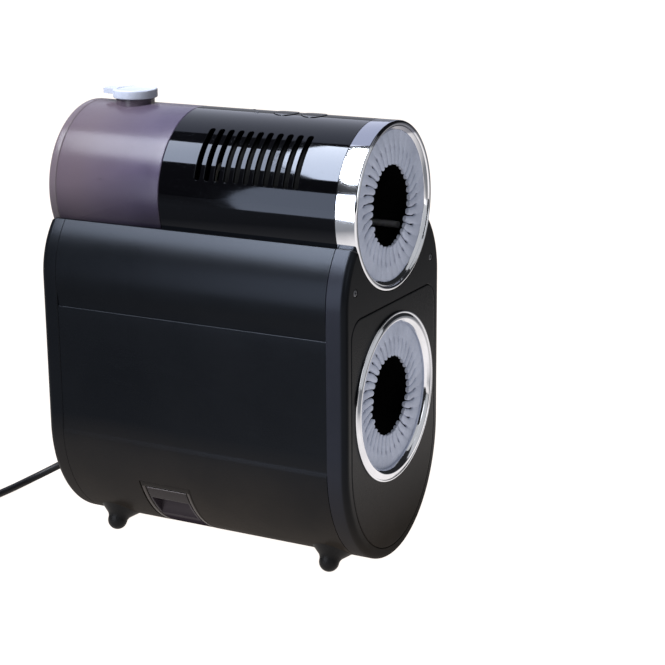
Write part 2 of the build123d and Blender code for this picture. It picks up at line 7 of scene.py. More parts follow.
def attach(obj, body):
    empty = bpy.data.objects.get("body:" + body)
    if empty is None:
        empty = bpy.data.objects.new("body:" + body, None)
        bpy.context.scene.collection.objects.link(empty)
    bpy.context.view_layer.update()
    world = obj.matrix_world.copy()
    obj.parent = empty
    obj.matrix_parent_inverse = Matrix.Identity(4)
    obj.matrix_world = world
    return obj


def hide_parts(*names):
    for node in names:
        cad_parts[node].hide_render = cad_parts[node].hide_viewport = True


# Brush cleaner: a steam barrel with a smoky water tank lies along the top of a satin black body.
# Shapes are worked out in millimetres and become metres when a mesh is made. +Z is up, the ports face -Y.

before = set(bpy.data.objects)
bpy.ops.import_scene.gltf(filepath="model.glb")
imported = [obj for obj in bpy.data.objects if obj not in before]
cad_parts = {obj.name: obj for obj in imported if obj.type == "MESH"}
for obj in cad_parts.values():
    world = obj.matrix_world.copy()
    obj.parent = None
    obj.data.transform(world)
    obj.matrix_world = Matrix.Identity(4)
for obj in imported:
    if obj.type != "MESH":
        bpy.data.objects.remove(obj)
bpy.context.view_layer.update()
mm = 0.001

camera = {
    "place": (-1.0989, -0.65895, 0.5121),
    "right": (0.4676, -0.8839, -0.0078),
    "up": (0.2408, 0.1189, 0.9633),
    "lens": 98.02,
}


def link(name, data):
    piece = bpy.data.objects.new(name, data)
    bpy.context.scene.collection.objects.link(piece)
    return piece


def setCamera():
    lens = bpy.data.cameras.new("camera")
    lens.lens = camera["lens"]
    lens.sensor_width = 36
    right = Vector(camera["right"]).normalized()
    up = Vector(camera["up"])
    up = (up - right * up.dot(right)).normalized()
    turn = Matrix((right, up, right.cross(up))).transposed()
    holder = link("camera", lens)
    holder.matrix_world = Matrix.Translation(camera["place"]) @ turn.to_4x4()
    bpy.context.scene.camera = holder


class Wire:
    # a socket that can stand in an expression
    def __init__(self, bench, socket):
        self.bench = bench
        self.socket = socket


def mathStep(operation, flipped):
    def step(wire, other):
        first, second = (other, wire) if flipped else (wire, other)
        return wire.bench.add("ShaderNodeMath", {"operation": operation}, {0: first, 1: second})
    return step


# each operator, and its reflected form, adds a Math node
operators = {"add": "ADD", "sub": "SUBTRACT", "mul": "MULTIPLY", "truediv": "DIVIDE", "pow": "POWER"}
for sign, operation in operators.items():
    setattr(Wire, "__%s__" % sign, mathStep(operation, False))
    setattr(Wire, "__r%s__" % sign, mathStep(operation, True))


class Bench:
    def __init__(self, tree):
        self.tree = tree

    def add(self, kind, settings=None, sockets=None, out=0):
        node = self.tree.nodes.new(kind)
        for key, value in (settings or {}).items():
            setattr(node, key, value)
        for key, value in (sockets or {}).items():
            target = node.inputs[key]
            for item in value if isinstance(value, list) else [value]:
                if isinstance(item, Wire):
                    self.tree.links.new(item.socket, target)
                else:
                    target.default_value = item
        return Wire(self, node.outputs[out]) if len(node.outputs) else None

    def vector(self, operation, *inputs, out=0):
        return self.add("ShaderNodeVectorMath", {"operation": operation}, dict(enumerate(inputs)), out)

    def combine(self, x=0.0, y=0.0, z=0.0):
        return self.add("ShaderNodeCombineXYZ", {}, {0: x, 1: y, 2: z})

    def split(self, vector, axis):
        return self.add("ShaderNodeSeparateXYZ", {}, {0: vector}, out="XYZ".index(axis))


class Finish(Bench):
    def __init__(self, name):
        self.material = bpy.data.materials.new(name)
        self.material.use_nodes = True
        super().__init__(self.material.node_tree)
        self.tree.nodes.clear()
        self.place = self.add("ShaderNodeTexCoord", out="Object")

    def noise(self, scale, detail=3.0, rough=0.5, stretch=None):
        place = self.place
        if stretch:
            place = self.add("ShaderNodeMapping", {}, {"Vector": place, "Scale": stretch})
        sockets = {"Vector": place, "Scale": scale, "Detail": detail, "Roughness": rough}
        return self.add("ShaderNodeTexNoise", {}, sockets)

    def fade(self, value, low, high, atLow=0.0, atHigh=1.0):
        sockets = {"Value": value, "From Min": low, "From Max": high, "To Min": atLow, "To Max": atHigh}
        return self.add("ShaderNodeMapRange", {"clamp": True}, sockets)

    def tint(self, mask, first, second):
        return self.add("ShaderNodeMix", {"data_type": "RGBA"}, {0: mask, 6: first, 7: second}, out=2)

    def bump(self, height, strength, depth):
        return self.add("ShaderNodeBump", {}, {"Height": height, "Strength": strength, "Distance": depth})

    def along(self, axis):
        return self.split(self.place, axis)

    def shader(self, colour, rough, normal=None, **more):
        sockets = {"Base Color": colour, "Roughness": rough}
        if normal:
            sockets["Normal"] = normal
        sockets.update({key.replace("_", " "): value for key, value in more.items()})
        return self.add("ShaderNodeBsdfPrincipled", {}, sockets)

    def close(self, *shaders, mask=None):
        # one shader, or two blended by a mask
        surface = shaders[0]
        if mask:
            surface = self.add("ShaderNodeMixShader", {}, {0: mask, 1: shaders[0], 2: shaders[1]})
        self.add("ShaderNodeOutputMaterial", {}, {"Surface": surface})
        return self.material


class Tree(Bench):
    # a geometry tree with named inputs; the first is always the piece's own mesh
    def __init__(self, name, **inputs):
        super().__init__(bpy.data.node_groups.new(name, "GeometryNodeTree"))
        face = self.tree.interface
        face.new_socket("Mesh", in_out="INPUT", socket_type="NodeSocketGeometry")
        face.new_socket("Mesh", in_out="OUTPUT", socket_type="NodeSocketGeometry")
        for label, kind in inputs.items():
            face.new_socket(label, in_out="INPUT", socket_type="NodeSocket" + kind)
        face.new_socket("Finish", in_out="INPUT", socket_type="NodeSocketMaterial")
        self.door = self.tree.nodes.new("NodeGroupInput")

    def given(self, label):
        return Wire(self, self.door.outputs[label])

    def line(self, count, offset=(0, 0, 0), start=(0, 0, 0)):
        sockets = {"Count": count, "Start Location": start, "Offset": offset}
        return self.add("GeometryNodeMeshLine", {"mode": "OFFSET"}, sockets)

    def model(self, label):
        return self.add("GeometryNodeObjectInfo", {}, {"Object": self.given(label)}, out="Geometry")

    def repeat(self, points, instance, **more):
        return self.add("GeometryNodeInstanceOnPoints", {}, {0: points, "Instance": instance, **more})

    def cut(self, tools):
        solid = self.add("GeometryNodeRealizeInstances", {}, {0: tools})
        settings = {"operation": "DIFFERENCE", "solver": "EXACT"}
        return self.add("GeometryNodeMeshBoolean", settings, {0: self.given("Mesh"), 1: solid})

    def close(self, shape):
        real = self.add("GeometryNodeRealizeInstances", {}, {0: shape})
        done = self.add("GeometryNodeSetMaterial", {}, {0: real, "Material": self.given("Finish")})
        self.add("NodeGroupOutput", {}, {0: done})
        return self

    def grow(self, piece, finish, **values):
        modifier = piece.modifiers.new(self.tree.name, "NODES")
        modifier.node_group = self.tree
        values["Finish"] = finishes[finish]
        for item in self.tree.interface.items_tree:
            if item.in_out == "INPUT" and item.name in values:
                modifier[item.identifier] = values[item.name]
        settle(piece)
        for value in values.values():
            if isinstance(value, bpy.types.Object):
                bpy.data.objects.remove(value)


def settle(piece):
    # the evaluated shape becomes the piece's own mesh, and its modifiers go
    bpy.context.view_layer.update()
    mesh = bpy.data.meshes.new_from_object(piece.evaluated_get(bpy.context.evaluated_depsgraph_get()))
    piece.modifiers.clear()
    piece.data = mesh
    mesh.name = piece.name


def srgb(*levels):
    shares = [level / 255 for level in levels]
    return (*(c / 12.92 if c <= 0.04045 else ((c + 0.055) / 1.055) ** 2.4 for c in shares), 1.0)


def satinSkin(f, light, dark, rough):
    # fine grained and lightly scuffed; gives its cloud, grain, colour, roughness and normal
    cloud = f.noise(9.0, 4.0, 0.6)
    grain = f.noise(2600.0, 2.0, 0.6)
    pits = f.noise(900.0, 1.0, 0.5)
    scuff = f.fade(f.noise(60.0, 6.0, 0.75, (1.0, 0.25, 1.0)), 0.56, 0.78)
    colour = f.tint(f.fade(cloud, 0.3, 0.7), dark, light)
    roughness = rough + (cloud - 0.5) * 0.12 + scuff * 0.08 + (grain - 0.5) * 0.05
    return cloud, grain, colour, roughness, f.bump(grain * 0.6 + pits * 0.4, 0.22, 0.00006)


def satinPlastic(f, light, dark, rough, level):
    skin = satinSkin(f, light, dark, rough)
    return f.close(f.shader(*skin[2:], Specular_IOR_Level=level))


def bodyPlastic(f, light, dark, belly, rough, edge=None):
    # satin on the sides, turning matt towards the belly with a painted warm floor reflection; painted shade
    # at a front edge
    cloud, grain, colour, roughness, normal = satinSkin(f, light, dark, rough)
    # painted shade: the rounded front edge, in front of Y = edge, is darkened
    if edge:
        colour = f.tint(f.fade(f.along("Y"), edge - 0.0008, edge + 0.0008), srgb(9, 10, 12), colour)
    satin = f.shader(colour, roughness, normal, Specular_IOR_Level=0.11, Specular_Tint=(0.7, 0.8, 1.0, 1))
    # painted reflection: the belly's lighter warm tone stands in for light bounced off the floor
    warm = f.tint(cloud, belly, colour)
    matt = f.shader(warm, 0.7 + (grain - 0.5) * 0.1, normal, Specular_IOR_Level=0.0)
    return f.close(satin, matt, mask=f.fade(f.along("Z") + (cloud - 0.5) * 0.01, 0.1, 0.022, 0.0, 0.88))


def glossPlastic(f, colour, level, sheen):
    wave = f.noise(14.0, 2.0, 0.4)
    wipe = f.fade(f.noise(420.0, 5.0, 0.7, (1.0, 0.08, 1.0)), 0.5, 0.85)
    dust = f.fade(f.noise(1500.0, 1.0, 0.4), 0.72, 0.8)
    tone = f.tint(dust * 0.35, colour, srgb(30, 31, 33))
    roughness = 0.045 + wipe * 0.05 + dust * 0.25
    normal = f.bump(wave, 0.05, 0.0004)
    return f.close(f.shader(tone, roughness, normal, Specular_IOR_Level=level, Specular_Tint=sheen))


def chrome(f, low, high):
    # painted shade: a little darker over the crown of the barrel, standing in for a dimmer reflection from
    # above
    brush = f.noise(700.0, 3.0, 0.6, (1.0, 0.1, 1.0))
    haze = f.fade(f.noise(30.0, 4.0, 0.6), 0.35, 0.75)
    colour = f.tint(haze, srgb(226, 229, 236), srgb(206, 209, 216))
    colour = f.tint(f.fade(f.along("Z"), low, high), colour, srgb(134, 137, 148))
    roughness = 0.05 + haze * 0.05 + brush * 0.03
    return f.close(f.shader(colour, roughness, f.bump(brush, 0.03, 0.00005), Metallic=1.0))


def smokyPlastic(f, light, dark, alpha, rough, deep=None, shadeHeights=None, warm=None):
    # deep is painted shade low down, for the shadowed trough seen through the tank; warm is the tone towards
    # the rear end
    cloud = f.noise(16.0, 4.0, 0.55)
    flow = f.noise(55.0, 3.0, 0.6, (1.0, 0.2, 1.0))
    colour = f.tint(f.fade(cloud * 0.7 + flow * 0.3, 0.35, 0.65), dark, light)
    if deep:
        rear = f.fade(f.along("Y"), 0.045, 0.1)
        # painted shade: darker low down, in place of the shadowed trough seen through the tank
        height = f.fade(f.along("Z") + (cloud - 0.5) * 0.02 + rear * 0.015, *shadeHeights)
        colour = f.tint(height, deep, f.tint(rear, colour, warm))
    normal = f.bump(flow, 0.08, 0.0003)
    more = {"Alpha": alpha + (cloud - 0.5) * 0.08, "Specular_IOR_Level": 0.2, "IOR": 1.49}
    return f.close(f.shader(colour, rough + (cloud - 0.5) * 0.08, normal, **more))


def trayPlastic(f, lip, inside, under, edgeHighlight, floor, pocketTop, edge):
    # greyer on the lip above the finger pocket and mauve in it; painted light in the pocket, shade below and
    # a highlight on top
    cloud = f.noise(26.0, 4.0, 0.6)
    flow = f.noise(90.0, 3.0, 0.6, (1.0, 0.2, 1.0))
    z = f.along("Z")
    # the pocket's mauve is its tint, made lighter as painted light from the floor
    colour = f.tint(f.fade(z, pocketTop - 0.0004, pocketTop + 0.0004), inside, lip)
    colour = f.tint(cloud * 0.35, colour, srgb(30, 27, 32))
    # painted shade: darker underneath, below floor
    colour = f.tint(f.fade(z, floor, floor + 0.0015), under, colour)
    # painted highlight: a pale line along the lip's top edge
    colour = f.tint(f.fade(z, edge - 0.0009, edge - 0.0003), colour, edgeHighlight)
    roughness = 0.36 + (cloud - 0.5) * 0.1 + flow * 0.04
    normal = f.bump(flow, 0.08, 0.0003)
    satin, matt = (f.shader(colour, roughness, normal, Specular_IOR_Level=level) for level in (0.12, 0.0))
    return f.close(satin, matt, mask=f.fade(z, 0.03, 0.02))


def softRubber(f, light, dark, rough, scale, depth):
    cloud = f.noise(40.0, 4.0, 0.6)
    grain = f.noise(scale, 3.0, 0.65)
    colour = f.tint(f.fade(cloud * 0.6 + grain * 0.4, 0.35, 0.65), dark, light)
    normal = f.bump(grain, 0.3, depth)
    return f.close(f.shader(colour, rough + (grain - 0.5) * 0.2, normal, Specular_IOR_Level=0.12))


def bareMetal(f, light, dark, rough, stretch):
    brush = f.noise(900.0, 4.0, 0.7, (1.0, stretch, 1.0))
    stain = f.fade(f.noise(45.0, 4.0, 0.6), 0.4, 0.7)
    colour = f.tint(stain * 0.5 + brush * 0.3, light, dark)
    roughness = rough + stain * 0.12 + (brush - 0.5) * 0.15
    return f.close(f.shader(colour, roughness, f.bump(brush, 0.15, 0.00005), Metallic=1.0))


def circuitBoard(f):
    settings = {"feature": "DISTANCE_TO_EDGE"}
    cells = f.add("ShaderNodeTexVoronoi", settings, {"Vector": f.place, "Scale": 260.0})
    track = 1 - f.fade(cells, 0.02, 0.05)
    colour = f.tint(track, srgb(22, 74, 46), srgb(62, 122, 74))
    return f.close(f.shader(colour, 0.35 + track * 0.15, f.bump(track, 0.3, 0.0001)))


recipes = {
    # the body's belly tone is a painted warm floor reflection
    "body_plastic": (bodyPlastic, srgb(9, 10, 12), srgb(6, 7, 9), srgb(56, 51, 46), 0.28),
    # the bezel's copy of the body plastic is painted lighter as sheen, its front edge darker as painted shade
    "bezel_plastic": (bodyPlastic, srgb(27, 28, 34), srgb(21, 22, 27), srgb(50, 46, 42), 0.3, -0.1198),
    # a paler copy of the body plastic, painted as highlight on the tray's beads
    "bead_plastic": (satinPlastic, srgb(68, 64, 62), srgb(58, 54, 52), 0.4, 0.11),
    "gloss_black": (glossPlastic, srgb(3, 3, 4), 0.21, (0.74, 0.82, 1.0, 1)),
    # chrome is painted darker over the barrel's crown, between these two heights, as shade
    "chrome_trim": (chrome, 0.3072, 0.3088),
    # the tank's deep tone low down is painted shade
    "smoky_plastic": (smokyPlastic, srgb(70, 64, 83), srgb(54, 48, 65), 0.8, 0.24, srgb(24, 21, 31),
                      (0.235, 0.285), srgb(72, 63, 71)),
    # the tray's lighter pocket, darker underside and pale top edge are painted light, shade and highlight
    "tray_plastic": (trayPlastic, srgb(30, 26, 27), srgb(40, 35, 41), srgb(24, 21, 25), srgb(96, 92, 93),
                     0.0145, 0.0403, 0.0501),
    "pipe_steel": (bareMetal, srgb(240, 242, 248), srgb(214, 216, 224), 0.5, 0.2),
    "fringe_rubber": (softRubber, srgb(184, 192, 212), srgb(158, 166, 186), 0.5, 900.0, 0.00008),
    "foot_rubber": (softRubber, srgb(16, 16, 17), srgb(10, 10, 11), 0.5, 1600.0, 0.00006),
    "inner_plastic": (satinPlastic, srgb(10, 10, 11), srgb(6, 6, 7), 0.6, 0.1),
    "button_plastic": (glossPlastic, srgb(5, 5, 6), 0.2, (0.8, 0.86, 1.0, 1)),
    "lamp_lens": (smokyPlastic, srgb(52, 54, 60), srgb(38, 40, 46), 0.92, 0.3),
    "silicone": (softRubber, srgb(152, 156, 168), srgb(136, 141, 154), 0.38, 700.0, 0.00005),
    "hose_silicone": (softRubber, srgb(200, 198, 190), srgb(170, 168, 160), 0.45, 800.0, 0.00005),
    "screw_steel": (bareMetal, srgb(120, 122, 128), srgb(70, 72, 76), 0.32, 0.2),
    "boiler_aluminium": (bareMetal, srgb(188, 190, 194), srgb(150, 152, 158), 0.4, 0.15),
    "motor_steel": (bareMetal, srgb(150, 152, 156), srgb(104, 106, 110), 0.36, 0.15),
    "fan_plastic": (satinPlastic, srgb(40, 42, 46), srgb(28, 30, 33), 0.45, 0.35),
    "circuit_board": (circuitBoard,),
    "component_black": (satinPlastic, srgb(30, 30, 32), srgb(20, 20, 22), 0.5, 0.35),
    "lead_sheath": (softRubber, srgb(22, 22, 24), srgb(14, 14, 16), 0.42, 1200.0, 0.00005),
    "plug_brass": (bareMetal, srgb(214, 216, 220), srgb(176, 178, 184), 0.25, 0.2),
}
finishes = {name: make(Finish(name), *values) for name, (make, *values) in recipes.items()}
print("finishes ready:", len(finishes))


def makeMesh(name, verts, faces):
    mesh = bpy.data.meshes.new(name)
    mesh.from_pydata([[c * mm for c in v] for v in verts], [], faces)
    piece = link(name, mesh)
    mend(piece)
    return piece


def mend(piece, gap=0.000004):
    work = bmesh.new()
    work.from_mesh(piece.data)
    bmesh.ops.remove_doubles(work, verts=work.verts, dist=gap)
    bmesh.ops.recalc_face_normals(work, faces=work.faces)
    work.to_mesh(piece.data)
    work.free()


def join(name, parts):
    work = bmesh.new()
    for part in parts:
        work.from_mesh(part.data)
        bpy.data.objects.remove(part)
    mesh = bpy.data.meshes.new(name)
    work.to_mesh(mesh)
    work.free()
    return link(name, mesh)


def shade(piece, crease):
    piece.data.shade_smooth()
    piece.data.set_sharp_from_angle(angle=math.radians(crease))


def soften(piece, width, steps=2, limit=40):
    bevel = piece.modifiers.new("soft_edges", "BEVEL")
    bevel.width = width * mm
    bevel.segments = steps
    bevel.limit_method = "ANGLE"
    bevel.angle_limit = math.radians(limit)
    bevel.harden_normals = True


def evenOut(piece):
    # large faces keep their true slope, so a cut-out doesn't bend the gloss round it
    even = piece.modifiers.new("even_normals", "WEIGHTED_NORMAL")
    even.weight = 100
    even.keep_sharp = True


def carve(piece, tool, operation="DIFFERENCE"):
    cut = piece.modifiers.new("carve", "BOOLEAN")
    cut.operation = operation
    cut.solver = "EXACT"
    cut.object = tool
    settle(piece)
    bpy.data.objects.remove(tool)


def shift(piece, x=0.0, y=0.0, z=0.0, turn=None):
    move = Matrix.Translation((x * mm, y * mm, z * mm))
    piece.data.transform(move @ turn if turn else move)
    return piece


def dress(piece, body, finish, *nodes, slot=None, crease=32):
    # the last step of each piece; without a crease its shading stays as it is
    if crease:
        shade(piece, crease)
    piece.data.materials.clear()
    piece.data.materials.append(finishes[finish])
    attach(piece, body)
    if nodes:
        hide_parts(*nodes)


def arc(count, turn=math.pi / 2, start=0.0):
    # the cosine and sine of each step round a turn
    angles = [start + turn * k / count for k in range(count + 1)]
    return [(math.cos(a), math.sin(a)) for a in angles]


def smooth(share):
    share = max(0.0, min(1.0, share))
    return share * share * (3 - 2 * share)


def roundCorners(corners, step=12):
    # a closed outline of points, each with how far its corner is rounded, turned into points alone
    outline = []
    count = len(corners)
    for i, (x, y, radius) in enumerate(corners):
        if radius <= 0:
            outline.append((x, y))
            continue
        before, here, after = (Vector(corners[(i + k) % count][:2]) for k in (-1, 0, 1))
        back = (before - here).normalized()
        on = (after - here).normalized()
        half = math.acos(max(-1, min(1, back.dot(on)))) / 2
        reach = radius / math.tan(half)
        middle = here + (back + on).normalized() * radius / math.sin(half)
        first = here + back * reach - middle
        last = here + on * reach - middle
        sweep = first.angle_signed(last)
        parts = max(2, round(abs(math.degrees(sweep)) / step))
        for k in range(parts + 1):
            outline.append(tuple(middle + Matrix.Rotation(-sweep * k / parts, 2) @ first))
    return outline


def stackLoops(loops, ring=False, ends=False):
    # skins a list of closed loops with the same number of points
    count = len(loops[0])
    verts = [p for loop in loops for p in loop]
    faces = []
    rows = len(loops) if ring else len(loops) - 1
    for row in range(rows):
        low = row * count
        high = (row + 1) % len(loops) * count
        for k in range(count):
            m = (k + 1) % count
            faces.append((low + k, low + m, high + m, high + k))
    if ends:
        faces.append(tuple(range(count)))
        faces.append(tuple((len(loops) - 1) * count + k for k in reversed(range(count))))
    return verts, faces


def portPlace(z, x=0.0):
    return lambda radius, angle, y: (x + radius * math.cos(angle), y, z + radius * math.sin(angle))


def postPlace(x, y):
    return lambda radius, angle, z: (x + radius * math.cos(angle), y + radius * math.sin(angle), z)


def turned(name, corners, place, around, step=12):
    # turns a section's rounded corners into a ring, or a solid if they start and end on the axis
    section = roundCorners(corners, step)
    solid = section[0][0] < 1e-6 and section[-1][0] < 1e-6
    angles = [math.tau * k / around for k in range(around)]
    loops = [[place(radius, angle, station) for angle in angles] for radius, station in section]
    return makeMesh(name, *stackLoops(loops, ring=not solid))


def pillar(name, radius, low, high, place, around=32):
    return turned(name, [(0, low, 0), (radius, low, 0), (radius, high, 0), (0, high, 0)], place, around)


def thickSheet(name, outer, inner, isHole=lambda i, j: False):
    # a wall between two grids of points, with its rim closed wherever cells end
    rows, columns = len(outer), len(outer[0])
    verts = [p for row in outer for p in row] + [p for row in inner for p in row]
    below = rows * columns
    cells = [(i, j) for i in range(rows - 1) for j in range(columns - 1) if not isHole(i, j)]
    faces, edges = [], {}
    for i, j in cells:
        a, b = i * columns + j, i * columns + j + 1
        c, d = b + columns, a + columns
        faces += [(a, b, c, d), (a + below, d + below, c + below, b + below)]
        for start, end in ((a, b), (b, c), (c, d), (d, a)):
            if (end, start) in edges:
                del edges[(end, start)]
            else:
                edges[(start, end)] = True
    faces += [(start, start + below, end + below, end) for start, end in edges]
    return makeMesh(name, verts, faces)


# the mains lead lies on the floor behind the body
lead = {
    "radius": 3.0,
    "route": [
        (30, 152.5, 30), (30, 169.5, 27.5), (30, 186.8, 17), (21.2, 202.2, 8), (5.8, 211, 3.2),
        (-12.5, 211.4, 3.2), (-32.5, 213.3, 3.2), (-54, 213, 3.2),
    ],
    "coilR": 45.0,
    "pitch": 6.2,
    "rows": 4,
    "lowZ": 3.2,
    "layer": 6.3,
    "step": 20.0,
    "shiftAt": 240.0,
    "shiftLength": 90.0,
    "endTurn": 70.0,
    "tail": [(17.0, 105, 4.0), (17.0, 75, 4.5), (15.0, 48, 2.0)],
    "length": 1.77,
}


def coilPoints():
    # rows wound inwards on the floor, a climb, then the same rows outwards on top of them
    centreX, centreY = lead["route"][-1][0], lead["route"][-1][1] + lead["coilR"]
    rows, length = lead["rows"], lead["shiftLength"]
    inwards = [lead["shiftAt"] + 360 * k for k in range(rows - 1)]
    climb = lead["shiftAt"] - length + 360 * rows - 360
    outwards = [climb + 360 * k - length for k in range(1, rows)]
    end = climb + length + 360 * (rows - 1)
    end += (lead["endTurn"] - end) % 360

    def spot(turn, radius, z):
        angle = math.radians(-90 - turn)
        return centreX + radius * math.cos(angle), centreY + radius * math.sin(angle), z

    points = []
    turn = lead["step"]
    while turn < end:
        shifted = sum(smooth((turn - start) / length) for start in inwards)
        shifted -= sum(smooth((turn - start) / length) for start in outwards)
        z = lead["lowZ"] + lead["layer"] * smooth((turn - climb) / length)
        points.append(spot(turn, lead["coilR"] - lead["pitch"] * shifted, z))
        turn += lead["step"]
    x, y, z = spot(end, lead["coilR"], lead["lowZ"] + lead["layer"])
    points.append((x, y, z))
    for run, heading, rise in lead["tail"]:
        x += run * math.cos(math.radians(heading))
        y += run * math.sin(math.radians(heading))
        z += rise
        points.append((x, y, z))
    return points


def makeLead():
    points = lead["route"] + coilPoints()
    curve = bpy.data.curves.new("mains_lead", "CURVE")
    curve.dimensions = "3D"
    line = curve.splines.new("NURBS")
    line.points.add(len(points) - 1)
    for knot, point in zip(line.points, points):
        knot.co = (*[c * mm for c in point], 1.0)
    line.order_u = 3
    line.use_endpoint_u = True
    line.resolution_u = 6
    curve.bevel_depth = lead["radius"] * mm
    curve.bevel_resolution = 5
    curve.use_fill_caps = True
    piece = link("mains_lead", curve)
    dress(piece, "housing", "lead_sheath", "lead_tube", "lead_coil", "lead_tail", crease=None)


setCamera()
makeLead()
print("camera and lead set")


# the body has two shells, a bezel with its panel, and a rear cover
body = {
    "half": 74.3, "bellyZ": 89.5, "bellyDepth": 85.0, "sideTopZ": 201.5,
    "shoulderX": 13.0, "shoulderR": 61.3, "topZ": 241.9, "wall": 2.5, "splitZ": 181.0,
    "faceY": -123.8, "frontY": -108.55, "backY": 111.15, "rearY": 125.2, "plate": 3.0,
    "bezelRound": 4.4, "coverRound": 6.0,
    "barrelZ": 261.5, "frontTroughR": 59.1, "tankTroughR": 59.6, "troughStepY": 30.95,
    "seam": 0.35, "edge": 0.6, "recess": 0.8, "ledgeZ": 85.1, "ledgeRise": 2.1,
    "lean": 1.5, "leanTopZ": 199.0,
    "screws": [(-60, 62), (60, 62), (-62, 166), (62, 166), (-59.3, 213.1), (59.3, 213.1)],
    "faceSinkR": 2.8, "faceSink": 1.6, "rearSinkR": 3.2,
}
panel = {
    "half": 65.8, "topZ": 193.9, "depth": 76.5, "corner": 14.0, "gap": 0.4, "lap": 4.0,
    "holeR": 56.9, "portZ": 124.6,
}
steps = {"belly": 44, "side": 14, "shoulder": 22, "lip": 3, "trough": 24}


def lowerHalf(half, depth, top):
    # round the belly from its lowest point and straight up the side, short of the last point there
    low = body["bellyZ"]
    line = [(half * s, low - depth * c) for c, s in arc(steps["belly"])[:-1]]
    return line + [(half, low + (top - low) * k / steps["side"]) for k in range(steps["side"])]


def bodyHalf(inset, troughR):
    # the right half of the body section, from the belly's lowest point up to the middle of the trough
    half, depth = body["half"] - inset, body["bellyDepth"] - inset
    arcR, topZ = body["shoulderR"] - inset, body["topZ"] - inset
    topTurn = math.asin((topZ - body["sideTopZ"]) / arcR)
    tipTurn = math.asin((body["barrelZ"] - topZ) / troughR)
    line = lowerHalf(half, depth, body["sideTopZ"])
    shoulder = arc(steps["shoulder"], topTurn)[:-1]
    line += [(body["shoulderX"] + arcR * c, body["sideTopZ"] + arcR * s) for c, s in shoulder]
    lipOut = body["shoulderX"] + arcR * math.cos(topTurn)
    lipIn = troughR * math.cos(tipTurn)
    line += [(lipOut + (lipIn - lipOut) * k / steps["lip"], topZ) for k in range(steps["lip"])]
    trough = arc(steps["trough"], math.pi / 2 - tipTurn, tipTurn)
    return line + [(troughR * c, body["barrelZ"] - troughR * s) for c, s in trough]


def panelHalf(grow):
    # the panel's outline, point for point with the body's
    half, depth = panel["half"] + grow, panel["depth"] + grow
    top, corner = panel["topZ"] + grow, panel["corner"] + grow
    line = lowerHalf(half, depth, top - corner)
    line += [(half - corner + corner * c, top - corner + corner * s) for c, s in arc(steps["shoulder"])[:-1]]
    across = steps["lip"] + steps["trough"]
    return line + [((half - corner) * (1 - k / across), top) for k in range(across + 1)]


def bothSides(half, y):
    # a closed loop from its right half, at one station
    return [(x, y, z) for x, z in half] + [(-x, y, z) for x, z in reversed(half[1:-1])]


def bodyLoop(inset, troughR, y):
    return bothSides(bodyHalf(inset, troughR), y)


def panelLoop(grow, y):
    return bothSides(panelHalf(grow), y)


def portLoop(radius, y):
    # a circle whose points face those of the panel's outline
    angles = [math.atan2(z - panel["portZ"], x) for x, _, z in panelLoop(0, 0)]
    return [(radius * math.cos(a), y, panel["portZ"] + radius * math.sin(a)) for a in angles]


tray = {
    "y0": 11.15, "y1": 46.15, "z0": 12.25, "z1": 50.5, "frame": 4.1, "frameX": 26.0, "slope": 0.25,
    "aboveShare": 0.3,
    # how deep the frame is sunk, from the tray's edge outwards: an inner edge, a bead and a groove
    "bead": ((0, 0.55), (0.15, 0.3), (0.35, 0.08), (0.5, 0.02), (0.65, 0.08), (0.85, 0.4), (1, 0.85)),
}


def bellyTurn(z, inset=0.0):
    # how far round the belly, from its lowest point, the skin passes height z
    return math.acos((body["bellyZ"] - z) / (body["bellyDepth"] - inset))


def bellySkin(side, turn, inset):
    half, depth = body["half"] - inset, body["bellyDepth"] - inset
    return side * half * math.sin(turn), body["bellyZ"] - depth * math.cos(turn)


def traySide(y):
    # how far beside the tray a station lies, as a share of its frame
    return max(tray["y0"] - y, y - tray["y1"]) / tray["frame"]


def frameDepth(turn, y):
    # how deep the frame round the tray is sunk at one point
    aside = traySide(y)
    above = (bellySkin(-1, turn, 0)[1] - tray["z1"]) / tray["frame"]
    out = max(aside, above, 0)
    if out > 1 + 1e-6 or turn < math.asin(tray["frameX"] / body["half"]) - 1e-9:
        return 0.0
    deep = tray["bead"][-1][1]
    for (a, deepA), (b, deepB) in reversed(list(zip(tray["bead"], tray["bead"][1:]))):
        if out <= b:
            deep = deepA + (deepB - deepA) * (out - a) / (b - a)
    return deep * (tray["aboveShare"] if above > aside else 1)


